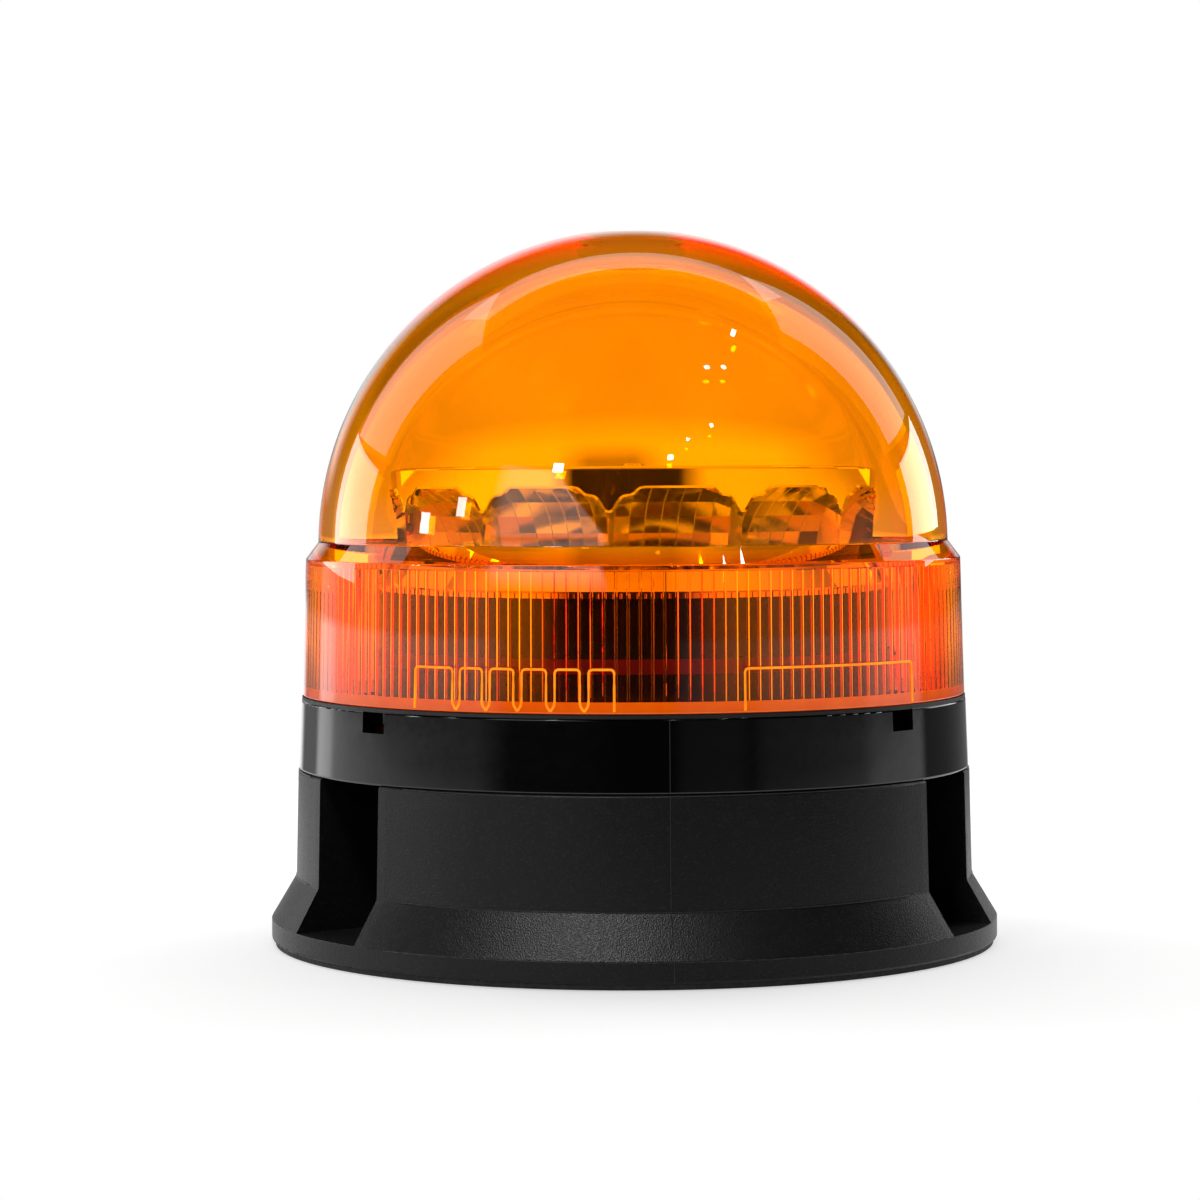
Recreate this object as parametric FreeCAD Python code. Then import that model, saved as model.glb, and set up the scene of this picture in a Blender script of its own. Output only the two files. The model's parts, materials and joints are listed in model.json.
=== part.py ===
import FreeCAD, Part
import math
import os

from FreeCAD import Vector

# Magnetic warning light. Millimetres and degrees, Z up, standing on Z = 0 with the lens axis on Z.
# A bearing is the angle from the front (-Y), positive towards +X.

# Overall size
flange_diameter = 140.0
overall_height = 136.0

# Rubber pad and base moulding, from the floor up
pad_thickness = 1.0
pad_setback = 0.7
pad_to_hole = 1.5
flange_height = 4.0
flange_wall = 3.2
flare_height = 8.0
flare_step = 4.8
body_height = 20.5
body_draft = 0.5
base_wall = 2.6
edge_round = 0.5
cut_over = 1.0

# Screw pockets round the base
pocket_count = 3
pocket_width = 21.0
pocket_wall = 2.0
mount_hole_inset = 12.0
mount_hole_diameter = 5.5
hole_to_pocket_back = 7.0

# Magnetic foot
pot_lift = 0.3
pot_height = 12.5
pot_wall = 3.0
pole_diameter = 16.0
magnet_recess = 0.2
magnet_clearance = 0.5
pot_clearance = 0.4
well_wall = 2.0
well_to_pocket = 5.5
well_roof = 2.2
plate_thickness = 2.5
plate_clearance = 0.5
magnet_screw_circle = 44.0

# Driver board and its parts
standoff_height = 4.0
standoff_diameter = 6.5
board_thickness = 1.6
board_to_pocket = 5.0
board_screw_inset = 8.0
headroom = 2.5
capacitor_diameter = 10.0
capacitor_bearings = [0.0, 40.0]
choke_diameter = 14.0
choke_height = 7.0
choke_cheek = 1.4
choke_waist_diameter = 10.5
choke_bearing = 230.0
chip_length = 10.0
chip_width = 6.5
chip_height = 2.4
chip_bearings = [280.0, 310.0]
terminal_length = 11.0
terminal_width = 8.0
terminal_height = 9.0

# Upper collar and its bayonet
collar_height = 13.5
seam_step = 0.2
collar_draft = 0.5
collar_wall = 1.9
deck_thickness = 2.5
deck_opening_diameter = 40.0
hook_bearing = -4.0
hook_spread = 48.6
hook_span = 26.0
hook_depth = 1.2
hook_thickness = 2.4
stop_span = 4.0
stop_drop = 3.0
bayonet_clearance = 0.3
window_width = 6.2
window_height = 4.0
window_depth = 2.4

# Amber lens
seal_thickness = 0.6
seal_width = 1.7
seal_clearance = 0.1
lens_step = 0.2
lens_draft = 0.8
lens_ring_wall = 2.1
shoulder_height = 3.2
shoulder_step = 2.4
dome_wall = 3.0
dome_sink = 0.8
crown_flat_diameter = 19.2
rim_height = 2.0
rib_count = 180
rib_depth = 0.7
rib_land = 0.3
spigot_wall = 2.0
lug_height = 2.3
lug_span = 12.0
lug_lead = 0.5

# Raised marking tabs on the lens foot
tab_front = 2.3
tab_offset = 27.9
tab_field_span = 34.8
tab_height = 7.8
tab_relief = 0.35
tab_wide_span = 7.5
tab_gap = 1.4
tab_narrow_count = 5

# Inner stack: pedestal, gasket, module cup, spreader, board
pedestal_gap = 9.1
pedestal_wall = 2.5
pedestal_height = 18.0
pedestal_shelf = 2.5
shelf_width = 7.0
gasket_thickness = 2.6
gasket_bulge = 0.3
cup_height = 10.6
cup_floor = 2.0
cup_wall = 2.5
cup_ledge = 2.0
spreader_thickness = 4.0
spreader_clearance = 0.3
spreader_screw_inset = 7.0
boss_diameter = 7.0

# Light source
led_board_thickness = 1.6
led_size = 5.0
led_height = 1.0
led_lens_diameter = 4.4
led_opening_clearance = 0.3
led_setback = 4.9

# Chromed reflector
reflector_floor = 1.2
reflector_skirt_wall = 1.3
drum_setback = 3.6
drum_height = 21.0
drum_draft = 1.0
drum_top = 2.5
niche_back_wall = 4.8
drum_rim_width = 2.0
drum_rim_height = 0.8
drum_post_diameter = 10.0
niche_count = 12
niche_bearing = 4.6
niche_axis_setback = 0.8
niche_web = 1.1
niche_columns = 9
niche_crown = 4.2
# Share of the niche's height and of its widest radius, from the floor to the crown
niche_section = [(0.0, 0.72), (0.25, 0.89), (0.5, 1.0), (0.74, 0.99), (0.9, 0.79), (1.0, 0.54)]

# Screws: shank diameter, head diameter, head height
small_screw = (2.0, 4.0, 1.6)
case_screw = (3.0, 5.6, 2.0)
screw_clearance = 0.05
screw_grip = 5.0
screw_post_diameter = 8.0
post_rib = 3.0

# Wires and cable inlet
wire_diameter = 1.8
wire_pitch = 2.6
wire_offset = 8.0
wire_foot_offset = 12.0
wire_hole_diameter = 6.4
wire_bend_share = 0.45
inlet_bearing = 150.0
inlet_drop = 8.0
inlet_bore_diameter = 6.4
grommet_neck = 11.0
grommet_lip = 2.5
grommet_flange = 1.6
inlet_flat_depth = 0.7

# Radii, from the flange inwards
flange_radius = flange_diameter / 2
body_foot_radius = flange_radius - flare_step
body_top_radius = body_foot_radius - body_draft
collar_foot_radius = body_top_radius - seam_step
collar_top_radius = collar_foot_radius - collar_draft
collar_bore_radius = collar_top_radius - collar_wall
hook_radius = collar_bore_radius - hook_depth
spigot_radius = hook_radius - bayonet_clearance
spigot_bore_radius = spigot_radius - spigot_wall
lug_radius = collar_bore_radius - bayonet_clearance
lens_foot_radius = collar_top_radius - lens_step
lens_top_radius = lens_foot_radius - lens_draft
dome_radius = lens_top_radius - shoulder_step
rib_root_radius = lens_top_radius - lens_ring_wall
rib_tip_radius = rib_root_radius - rib_depth
pedestal_radius = spigot_bore_radius - pedestal_gap
pedestal_bore_radius = pedestal_radius - pedestal_wall
pedestal_screw_radius = pedestal_bore_radius - boss_diameter / 2
mount_circle_radius = flange_radius - mount_hole_inset
pocket_back_radius = mount_circle_radius - hole_to_pocket_back
pocket_inner_radius = pocket_back_radius - pocket_wall
well_radius = pocket_inner_radius - well_to_pocket
well_bore_radius = well_radius - well_wall
pot_radius = well_bore_radius - pot_clearance
board_radius = pocket_inner_radius - board_to_pocket
board_screw_radius = board_radius - board_screw_inset
body_bore_radius = body_top_radius - base_wall
inlet_seat = body_top_radius - inlet_flat_depth
inlet_back = body_bore_radius + body_draft
post_radius = (pedestal_radius + spigot_bore_radius) / 2
cup_bore_radius = pedestal_radius - cup_wall
spreader_radius = cup_bore_radius - spreader_clearance
shelf_screw_radius = pedestal_bore_radius - shelf_width / 2
drum_radius = pedestal_radius - drum_setback
led_radius = drum_radius - led_setback
niche_axis_radius = drum_radius - niche_axis_setback
niche_radius = niche_axis_radius * math.sin(math.pi / niche_count) - niche_web / 2
drum_core_radius = niche_axis_radius - niche_radius - niche_back_wall
spreader_screw_radius = drum_core_radius - spreader_screw_inset

# Levels, from the floor up
base_level = pad_thickness
flange_level = base_level + flange_height
flare_level = flange_level + flare_height
seam_level = flare_level + body_height
deck_level = seam_level + deck_thickness
inlet_level = seam_level - inlet_drop
collar_level = seam_level + collar_height
lens_level = collar_level + seal_thickness + seal_clearance
hook_level = collar_level - hook_thickness
lug_level = hook_level - bayonet_clearance
spigot_level = lug_level - lug_height
dome_rise = math.sqrt(dome_radius ** 2 - (crown_flat_diameter / 2) ** 2) - dome_sink
ring_level = overall_height - dome_rise - shoulder_height
shoulder_level = ring_level + shoulder_height
dome_level = shoulder_level - dome_sink
plate_level = base_level + plate_thickness
pot_level = pot_lift + pot_height
roof_level = pot_level + well_roof
board_level = roof_level + standoff_height
board_top_level = board_level + board_thickness
component_level = seam_level - headroom
pedestal_level = deck_level + pedestal_height
cup_level = pedestal_level + gasket_thickness
module_level = cup_level + cup_height
spreader_level = module_level - spreader_thickness
led_board_level = module_level + led_board_thickness
reflector_level = led_board_level + reflector_floor
rim_level = reflector_level + drum_height

pocket_bearings = [180.0 + 360.0 * i / pocket_count for i in range(pocket_count)]
post_bearings = [bearing + 180.0 / pocket_count for bearing in pocket_bearings]
hook_sides = [hook_bearing - hook_spread, hook_bearing + hook_spread]
hook_bearings = hook_sides + [bearing + 180.0 for bearing in hook_sides]
niche_bearings = [niche_bearing + 360.0 * i / niche_count for i in range(niche_count)]

origin = Vector(0, 0, 0)
up = Vector(0, 0, 1)
outward = Vector(1, 0, 0)


# Shared shapes. A feature is drawn on the +X axis and turned to its bearing.
def turned(shape, bearing):
    copy = shape.copy()
    copy.rotate(origin, up, bearing - 90.0)
    return copy


def round_each(shape, bearings):
    return [turned(shape, bearing) for bearing in bearings]


def fused(shapes):
    return shapes[0].multiFuse(shapes[1:]).removeSplitter()


def cut_all(shape, tools):
    return shape.cut(Part.makeCompound(tools))


def arc_through(start, middle, end):
    return Part.Arc(start, middle, end).toShape()


def outline(corners):
    # Closed outline in the XZ plane from (radius, height) corners, or (radius, height, rounding)
    count = len(corners)
    points = [Vector(corner[0], 0, corner[1]) for corner in corners]
    starts, ends, arcs = [], [], []
    for i, corner in enumerate(corners):
        rounding = corner[2] if len(corner) > 2 else 0.0
        before = (points[i - 1] - points[i]).normalize()
        after = (points[(i + 1) % count] - points[i]).normalize()
        if rounding == 0.0:
            starts.append(points[i])
            ends.append(points[i])
            arcs.append(None)
            continue
        half = before.getAngle(after) / 2
        reach = rounding / math.tan(half)
        bisector = (before + after).normalize()
        middle = points[i] + bisector * (rounding / math.sin(half) - rounding)
        starts.append(points[i] + before * reach)
        ends.append(points[i] + after * reach)
        arcs.append(arc_through(starts[i], middle, ends[i]))
    edges = []
    for i in range(count):
        if arcs[i] is not None:
            edges.append(arcs[i])
        edges.append(Part.makeLine(ends[i], starts[(i + 1) % count]))
    return Part.Wire(edges)


def turned_solid(corners, span=360.0):
    # Solid of revolution about Z, or a sector of it centred on the +X axis
    solid = Part.Face(outline(corners)).revolve(origin, up, span)
    if span < 360.0:
        solid.rotate(origin, up, -span / 2)
    return solid


def ring(inner, outer, bottom, top, span=360.0):
    return turned_solid([(inner, bottom), (outer, bottom), (outer, top), (inner, top)], span)


def disc(radius, bottom, top, at=0.0):
    return Part.makeCylinder(radius, top - bottom, Vector(at, 0, bottom), up)


def block(inner, outer, width, bottom, top):
    return Part.makeBox(outer - inner, width, top - bottom, Vector(inner, -width / 2, bottom))


def pan_screw(size, at, seat, length, upside_down=False):
    # Pan-head screw whose head sits on the level given and whose shank goes down, or up when turned over
    shank, head, head_height = size
    bevel = head_height / 2
    screw = turned_solid([(0, -length), (shank / 2, -length), (shank / 2, 0), (head / 2, 0),
                          (head / 2, bevel), (head / 2 - bevel, head_height), (0, head_height)])
    if upside_down:
        screw.rotate(origin, outward, 180)
    screw.translate(Vector(at, 0, seat))
    return screw


def screw_hole(size, at, bottom, top):
    return disc(size[0] / 2 + screw_clearance, bottom, top, at)


# Base
def rubber_pad():
    inner = mount_circle_radius + mount_hole_diameter / 2 + pad_to_hole
    return ring(inner, flange_radius - pad_setback, 0, pad_thickness)


def pocket_block(clearance):
    width = pocket_width + 2 * (pocket_wall + clearance)
    return block(pocket_inner_radius - clearance, flange_radius, width, base_level, seam_level)


def base_envelope():
    return turned_solid([(0, base_level), (flange_radius, base_level, edge_round),
                         (flange_radius, flange_level, edge_round),
                         (body_foot_radius, flare_level, 2 * edge_round),
                         (body_top_radius, seam_level, edge_round), (0, seam_level)])


def grommet_block(inner, outer, lip, top):
    # Square block round the cable, standing proud of the slot by the lip and open to the seam
    foot = inlet_level - grommet_neck / 2 - lip
    return block(inner, outer, grommet_neck + 2 * lip, foot, top)


def base_housing():
    envelope = base_envelope()
    foot = base_level - cut_over
    top = seam_level + cut_over
    flange_bore = flange_radius - flange_wall
    inside = turned_solid([(0, foot), (flange_bore, foot), (flange_bore, flange_level - edge_round),
                           (body_bore_radius, flare_level), (body_bore_radius, top), (0, top)])
    shell = envelope.cut(inside)
    blocks = [turned(pocket_block(0), bearing).common(envelope) for bearing in pocket_bearings]
    post = disc(screw_post_diameter / 2, plate_level, seam_level, post_radius)
    rib = block(post_radius, body_bore_radius + base_wall / 2, post_rib, flare_level, seam_level)
    posts = round_each(post, post_bearings) + round_each(rib, post_bearings)
    body = fused([shell] + blocks + posts)
    pocket = block(pocket_back_radius, flange_radius + cut_over, pocket_width, flange_level, top)
    hole = disc(mount_hole_diameter / 2, foot, flange_level + cut_over, mount_circle_radius)
    top_pilot = screw_hole(case_screw, post_radius, seam_level - 2 * screw_grip, top)
    foot_pilot = screw_hole(case_screw, post_radius, plate_level - cut_over, plate_level + 2 * screw_grip)
    cuts = round_each(pocket, pocket_bearings) + round_each(hole, pocket_bearings)
    cuts += round_each(top_pilot, post_bearings) + round_each(foot_pilot, post_bearings)
    slot = grommet_block(inlet_back - grommet_flange, flange_radius, 0, top)
    outer_flat = grommet_block(inlet_seat, flange_radius, grommet_lip, top)
    inner_flat = grommet_block(inlet_back - grommet_flange, inlet_back, grommet_lip, top)
    cuts += [turned(shape, inlet_bearing) for shape in (slot, outer_flat, inner_flat)]
    return cut_all(body, cuts)


def cable_grommet():
    neck = grommet_block(inlet_back, inlet_seat, 0, seam_level)
    flanges = [grommet_block(inlet_seat, inlet_seat + grommet_flange, grommet_lip, seam_level),
               grommet_block(inlet_back - grommet_flange, inlet_back, grommet_lip, seam_level)]
    inner_end = Vector(inlet_back - grommet_flange, 0, inlet_level)
    length = inlet_seat - inlet_back + 2 * grommet_flange
    bore = Part.makeCylinder(inlet_bore_diameter / 2, length, inner_end, outward)
    return turned(fused([neck] + flanges).cut(bore), inlet_bearing)


def bottom_plate():
    plate_radius = body_bore_radius - plate_clearance
    hat = turned_solid([(well_bore_radius, base_level), (plate_radius, base_level),
                        (plate_radius, plate_level), (well_radius, plate_level), (well_radius, roof_level),
                        (0, roof_level), (0, pot_level), (well_bore_radius, pot_level)])
    standoff = disc(standoff_diameter / 2, pot_level, board_level, board_screw_radius)
    hat = fused([hat] + round_each(standoff, pocket_bearings))
    sink = countersink(post_radius)
    plate_hole = screw_hole(case_screw, post_radius, 0, plate_level + cut_over)
    magnet_hole = screw_hole(case_screw, magnet_screw_circle / 2, 0, roof_level + cut_over)
    board_hole = screw_hole(small_screw, board_screw_radius, roof_level, board_level + cut_over)
    holes = round_each(plate_hole, post_bearings) + round_each(sink, post_bearings)
    holes += round_each(magnet_hole, pocket_bearings) + round_each(board_hole, pocket_bearings)
    holes += round_each(pocket_block(plate_clearance), pocket_bearings)
    return cut_all(hat, holes)


def countersink(at):
    shank, head, height = case_screw
    return Part.makeCone(head / 2, shank / 2, height, Vector(at, 0, base_level), up)


def plate_screws():
    shank = case_screw[0] / 2
    screw = countersink(post_radius).fuse(disc(shank, base_level, plate_level + screw_grip, post_radius))
    return round_each(screw.removeSplitter(), post_bearings)


def magnet_pot():
    inner = pot_radius - pot_wall
    pole = pole_diameter / 2
    floor = pot_level - pot_wall
    pot = turned_solid([(0, pot_lift), (pole, pot_lift), (pole, floor), (inner, floor), (inner, pot_lift),
                        (pot_radius, pot_lift, edge_round), (pot_radius, pot_level, edge_round),
                        (0, pot_level)])
    hole = screw_hole(case_screw, magnet_screw_circle / 2, floor - cut_over, pot_level + cut_over)
    return cut_all(pot, round_each(hole, pocket_bearings))


def ferrite_ring():
    return ring(pole_diameter / 2 + magnet_clearance, pot_radius - pot_wall - magnet_clearance,
                pot_lift + magnet_recess, pot_level - pot_wall)


def magnet_screws():
    length = well_roof + pot_wall
    return round_each(pan_screw(case_screw, magnet_screw_circle / 2, roof_level, length), pocket_bearings)


# Driver circuit
def driver_board():
    board = disc(board_radius, board_level, board_top_level)
    hole = screw_hole(small_screw, board_screw_radius, board_level - cut_over, board_top_level + cut_over)
    return cut_all(board, round_each(hole, pocket_bearings))


def board_screws():
    length = board_thickness + standoff_height / 2
    return round_each(pan_screw(small_screw, board_screw_radius, board_top_level, length), pocket_bearings)


def capacitors():
    radius = capacitor_diameter / 2
    can = turned_solid([(0, board_top_level), (radius, board_top_level),
                        (radius, component_level, edge_round), (0, component_level)])
    can.translate(outward * board_radius / 2)
    return round_each(can, capacitor_bearings)


def choke():
    radius = choke_diameter / 2
    top = board_top_level + choke_height
    waist = choke_waist_diameter / 2
    low_cheek = board_top_level + choke_cheek
    high_cheek = top - choke_cheek
    drum = turned_solid([(0, board_top_level), (radius, board_top_level), (radius, low_cheek),
                         (waist, low_cheek), (waist, high_cheek), (radius, high_cheek), (radius, top), (0, top)])
    drum.translate(outward * board_radius / 2)
    return [turned(drum, choke_bearing)]


def driver_chips():
    inner = board_radius / 2 - chip_length / 2
    chip = block(inner, inner + chip_length, chip_width, board_top_level, board_top_level + chip_height)
    return round_each(chip, chip_bearings)


def terminal_block():
    inner = board_radius / 2
    top = board_top_level + terminal_height
    body = block(inner, inner + terminal_width, terminal_length, board_top_level, top)
    way = disc(terminal_length / 6, top - terminal_height / 2, top + cut_over, inner + terminal_width / 3)
    ways = []
    for side in (-1, 1):
        bore = way.copy()
        bore.translate(Vector(0, side * terminal_length / 4, 0))
        ways.append(bore)
    return [turned(cut_all(body, ways), inlet_bearing)]


def led_wires():
    # Each wire rises from the driver board, leans towards the axis and rises to the LED board
    run = [(wire_foot_offset, board_top_level), (wire_foot_offset, seam_level),
           (wire_offset, deck_level + pedestal_height / 2), (wire_offset, module_level)]
    points = [Vector(x, 0, z) for x, z in run]
    edges = []
    last = points[0]
    for before, corner, after in zip(points, points[1:], points[2:]):
        back = (before - corner).normalize()
        ahead = (after - corner).normalize()
        shorter = min(before.distanceToPoint(corner), corner.distanceToPoint(after))
        half = back.getAngle(ahead) / 2
        reach = wire_bend_share * shorter
        bend = reach * math.tan(half)
        start = corner + back * reach
        middle = corner + (back + ahead).normalize() * (bend / math.sin(half) - bend)
        end = corner + ahead * reach
        edges += [Part.makeLine(last, start), arc_through(start, middle, end)]
        last = end
    edges.append(Part.makeLine(last, points[-1]))
    path = Part.Wire(edges)
    section = Part.Wire(Part.makeCircle(wire_diameter / 2, points[0], up))
    wire = path.makePipeShell([section], True, True)
    pair = []
    for side in (-1, 1):
        lead = wire.copy()
        lead.translate(Vector(0, side * wire_pitch / 2, 0))
        pair.append(lead)
    return pair


# Upper collar and seal
def upper_collar():
    opening = deck_opening_diameter / 2
    cup = turned_solid([(opening, seam_level), (collar_foot_radius, seam_level, edge_round),
                        (collar_top_radius, collar_level, edge_round), (collar_bore_radius, collar_level),
                        (collar_bore_radius, deck_level, edge_round), (opening, deck_level)])
    inside = collar_bore_radius + collar_wall / 2
    hook = ring(hook_radius, inside, hook_level, collar_level, hook_span)
    stop = ring(hook_radius, inside, hook_level - stop_drop, hook_level, stop_span)
    stop.rotate(origin, up, -(hook_span - stop_span) / 2)
    cup = fused([cup] + round_each(hook, hook_bearings) + round_each(stop, hook_bearings))
    window = block(collar_top_radius - window_depth, collar_foot_radius + cut_over, window_width,
                   collar_level - window_height, collar_level + cut_over)
    low = seam_level - cut_over
    high = deck_level + cut_over
    cuts = round_each(window, hook_bearings)
    cuts += round_each(screw_hole(case_screw, post_radius, low, high), post_bearings)
    cuts += round_each(screw_hole(case_screw, pedestal_screw_radius, low, high), pocket_bearings)
    return cut_all(cup, cuts)


def deck_screws():
    length = deck_thickness + screw_grip
    return round_each(pan_screw(case_screw, post_radius, deck_level, length), post_bearings)


def lens_seal():
    outer = lens_foot_radius - lens_step
    return ring(outer - seal_width, outer, collar_level, collar_level + seal_thickness)


# Amber lens
def lens_body():
    crown = crown_flat_diameter / 2
    shoulder = math.sqrt(dome_radius ** 2 - dome_sink ** 2)
    inner_radius = dome_radius - dome_wall
    tilt = math.radians(45.0)
    across = Vector(math.cos(tilt), 0, math.sin(tilt))
    centre = up * dome_level
    outer_dome = arc_through(Vector(shoulder, 0, shoulder_level), centre + across * dome_radius,
                             Vector(crown, 0, overall_height))
    inner_dome = arc_through(Vector(0, 0, dome_level + inner_radius), centre + across * inner_radius,
                             Vector(inner_radius, 0, dome_level))
    land = rib_tip_radius - rib_land
    wall_points = [Vector(inner_radius, 0, dome_level), Vector(land, 0, rib_top_level()),
                   Vector(land, 0, rib_foot_level()), Vector(spigot_bore_radius, 0, lens_level),
                   Vector(spigot_bore_radius, 0, spigot_level), Vector(spigot_radius, 0, spigot_level),
                   Vector(spigot_radius, 0, lens_level), Vector(lens_foot_radius, 0, lens_level),
                   Vector(lens_top_radius, 0, ring_level), Vector(shoulder, 0, shoulder_level)]
    walls = [Part.makeLine(start, end) for start, end in zip(wall_points, wall_points[1:])]
    top = [Part.makeLine(Vector(crown, 0, overall_height), Vector(0, 0, overall_height)),
           Part.makeLine(Vector(0, 0, overall_height), Vector(0, 0, dome_level + inner_radius))]
    profile = Part.Wire(walls + [outer_dome] + top + [inner_dome])
    return Part.Face(profile).revolve(origin, up, 360)


def rib_foot_level():
    return lens_level + rim_height


def rib_top_level():
    return ring_level - shoulder_step / 2


def rib_grooves():
    # One star-shaped prism cuts every groove between the inner ribs
    corners = []
    for i in range(2 * rib_count):
        radius = rib_root_radius if i % 2 else rib_tip_radius
        angle = math.pi * i / rib_count
        corners.append(Vector(radius * math.cos(angle), radius * math.sin(angle), rib_foot_level()))
    star = Part.Face(Part.makePolygon(corners + corners[:1]))
    return star.extrude(up * (rib_top_level() - rib_foot_level()))


def marking_tab(start, span):
    top = lens_level + tab_height
    slope = lens_draft / (ring_level - lens_level)
    face_foot = lens_foot_radius + tab_relief
    face_top = face_foot - slope * tab_height
    back = rib_root_radius + lens_ring_wall / 2
    tab = turned_solid([(back, lens_level), (face_foot, lens_level), (face_top, top), (back, top)], span)
    return turned(tab, start + span / 2)


def marking_tabs():
    left = tab_front - tab_offset - tab_field_span / 2
    right = tab_front + tab_offset - tab_field_span / 2
    pitch = (tab_field_span - tab_wide_span) / tab_narrow_count
    tabs = [marking_tab(left, tab_wide_span), marking_tab(right, tab_field_span)]
    for i in range(tab_narrow_count):
        tabs.append(marking_tab(left + tab_wide_span + pitch * i + tab_gap, pitch - tab_gap))
    return tabs


def amber_lens():
    lug = ring(spigot_radius - spigot_wall / 2, lug_radius, spigot_level, lug_level, lug_span)
    lug.rotate(origin, up, -(hook_span / 2 - stop_span - lug_span / 2) + lug_lead)
    ribbed = lens_body().cut(rib_grooves())
    return fused([ribbed] + round_each(lug, hook_bearings) + marking_tabs())


# Inner stack
def lower_pedestal():
    shelf_bore = pedestal_bore_radius - shelf_width
    shelf_level = pedestal_level - pedestal_shelf
    tube = turned_solid([(pedestal_bore_radius, deck_level), (pedestal_radius, deck_level),
                         (pedestal_radius, pedestal_level), (shelf_bore, pedestal_level),
                         (shelf_bore, shelf_level), (pedestal_bore_radius, shelf_level)])
    boss = disc(boss_diameter / 2, deck_level, deck_level + pedestal_height / 2, pedestal_screw_radius)
    web = block(pedestal_screw_radius, pedestal_radius - pedestal_wall / 2, post_rib, deck_level,
                deck_level + pedestal_height / 2)
    tube = fused([tube] + round_each(boss, pocket_bearings) + round_each(web, pocket_bearings))
    pilot_top = deck_level + screw_grip + cut_over
    pilot = screw_hole(case_screw, pedestal_screw_radius, deck_level - cut_over, pilot_top)
    hole = screw_hole(case_screw, shelf_screw_radius, shelf_level - cut_over, pedestal_level + cut_over)
    return cut_all(tube, round_each(pilot, pocket_bearings) + round_each(hole, post_bearings))


def pedestal_screws():
    screw = pan_screw(case_screw, pedestal_screw_radius, seam_level, deck_thickness + screw_grip, True)
    return round_each(screw, pocket_bearings)


def module_gasket():
    inner = pedestal_bore_radius - shelf_width
    gasket = ring(inner, pedestal_radius + gasket_bulge, pedestal_level, cup_level)
    hole = screw_hole(case_screw, shelf_screw_radius, pedestal_level - cut_over, cup_level + cut_over)
    return cut_all(gasket, round_each(hole, post_bearings))


def module_cup():
    ledge = cup_bore_radius - cup_ledge
    floor = cup_level + cup_floor
    cup = turned_solid([(0, cup_level), (pedestal_radius, cup_level), (pedestal_radius, module_level),
                        (cup_bore_radius, module_level), (cup_bore_radius, spreader_level),
                        (ledge, spreader_level), (ledge, floor), (0, floor)])
    spreader_boss = disc(boss_diameter / 2, cup_level, spreader_level, spreader_screw_radius)
    shelf_boss = disc(boss_diameter / 2, cup_level, spreader_level, shelf_screw_radius)
    cup = fused([cup] + round_each(spreader_boss, pocket_bearings) + round_each(shelf_boss, post_bearings))
    low = cup_level - cut_over
    spreader_pilot = screw_hole(small_screw, spreader_screw_radius, floor, spreader_level + cut_over)
    shelf_pilot = screw_hole(case_screw, shelf_screw_radius, low, spreader_level - cut_over)
    cuts = round_each(spreader_pilot, pocket_bearings) + round_each(shelf_pilot, post_bearings)
    cuts.append(disc(wire_hole_diameter / 2, low, floor + cut_over, wire_offset))
    return cut_all(cup, cuts)


def module_screws():
    length = pedestal_shelf + gasket_thickness + screw_grip
    seat = pedestal_level - pedestal_shelf
    return round_each(pan_screw(case_screw, shelf_screw_radius, seat, length, True), post_bearings)


def stack_holes(bottom, top):
    # What passes down through the spreader and the LED board
    holes = round_each(screw_hole(small_screw, spreader_screw_radius, bottom, top), pocket_bearings)
    holes.append(screw_hole(case_screw, 0, bottom, top))
    return holes


def heat_spreader():
    plate = disc(spreader_radius, spreader_level, module_level)
    low = spreader_level - cut_over
    high = module_level + cut_over
    return cut_all(plate, stack_holes(low, high) + [disc(wire_hole_diameter / 2, low, high, wire_offset)])


def led_board():
    board = disc(spreader_radius, module_level, led_board_level)
    return cut_all(board, stack_holes(module_level - cut_over, led_board_level + cut_over))


def spreader_screws():
    length = led_board_thickness + spreader_thickness + screw_grip / 2
    screw = pan_screw(small_screw, spreader_screw_radius, led_board_level, length)
    return round_each(screw, pocket_bearings)


def led_packages():
    package = block(led_radius - led_size / 2, led_radius + led_size / 2, led_size, led_board_level,
                    led_board_level + led_height)
    return round_each(package, niche_bearings)


def led_lenses():
    base = led_board_level + led_height
    lens = Part.makeSphere(led_lens_diameter / 2, Vector(led_radius, 0, base), up, 0, 90, 360)
    return round_each(lens, niche_bearings)


# Chromed reflector
def niche_cutter():
    # Faceted alcove: each level is the same half polygon at another size, so that every facet is flat
    height = drum_height - niche_crown
    mouth = drum_radius + niche_radius
    levels = []
    for rise, share in niche_section:
        radius = niche_radius * share
        level = reflector_level + height * rise
        corners = [Vector(mouth, -radius, level)]
        for i in range(niche_columns + 1):
            angle = math.pi * (-0.5 - i / niche_columns)
            across = radius * math.sin(angle)
            corners.append(Vector(niche_axis_radius + radius * math.cos(angle), across, level))
        corners.append(Vector(mouth, radius, level))
        levels.append(corners)
    faces = [Part.Face(Part.makePolygon(corners + corners[:1])) for corners in (levels[0], levels[-1])]
    for lower, upper in zip(levels, levels[1:]):
        for i in range(len(lower)):
            j = (i + 1) % len(lower)
            faces.append(Part.Face(Part.makePolygon([lower[i], lower[j], upper[j], upper[i], lower[i]])))
    solid = Part.Solid(Part.makeShell(faces))
    if solid.Volume < 0:
        solid.reverse()
    return solid


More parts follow.
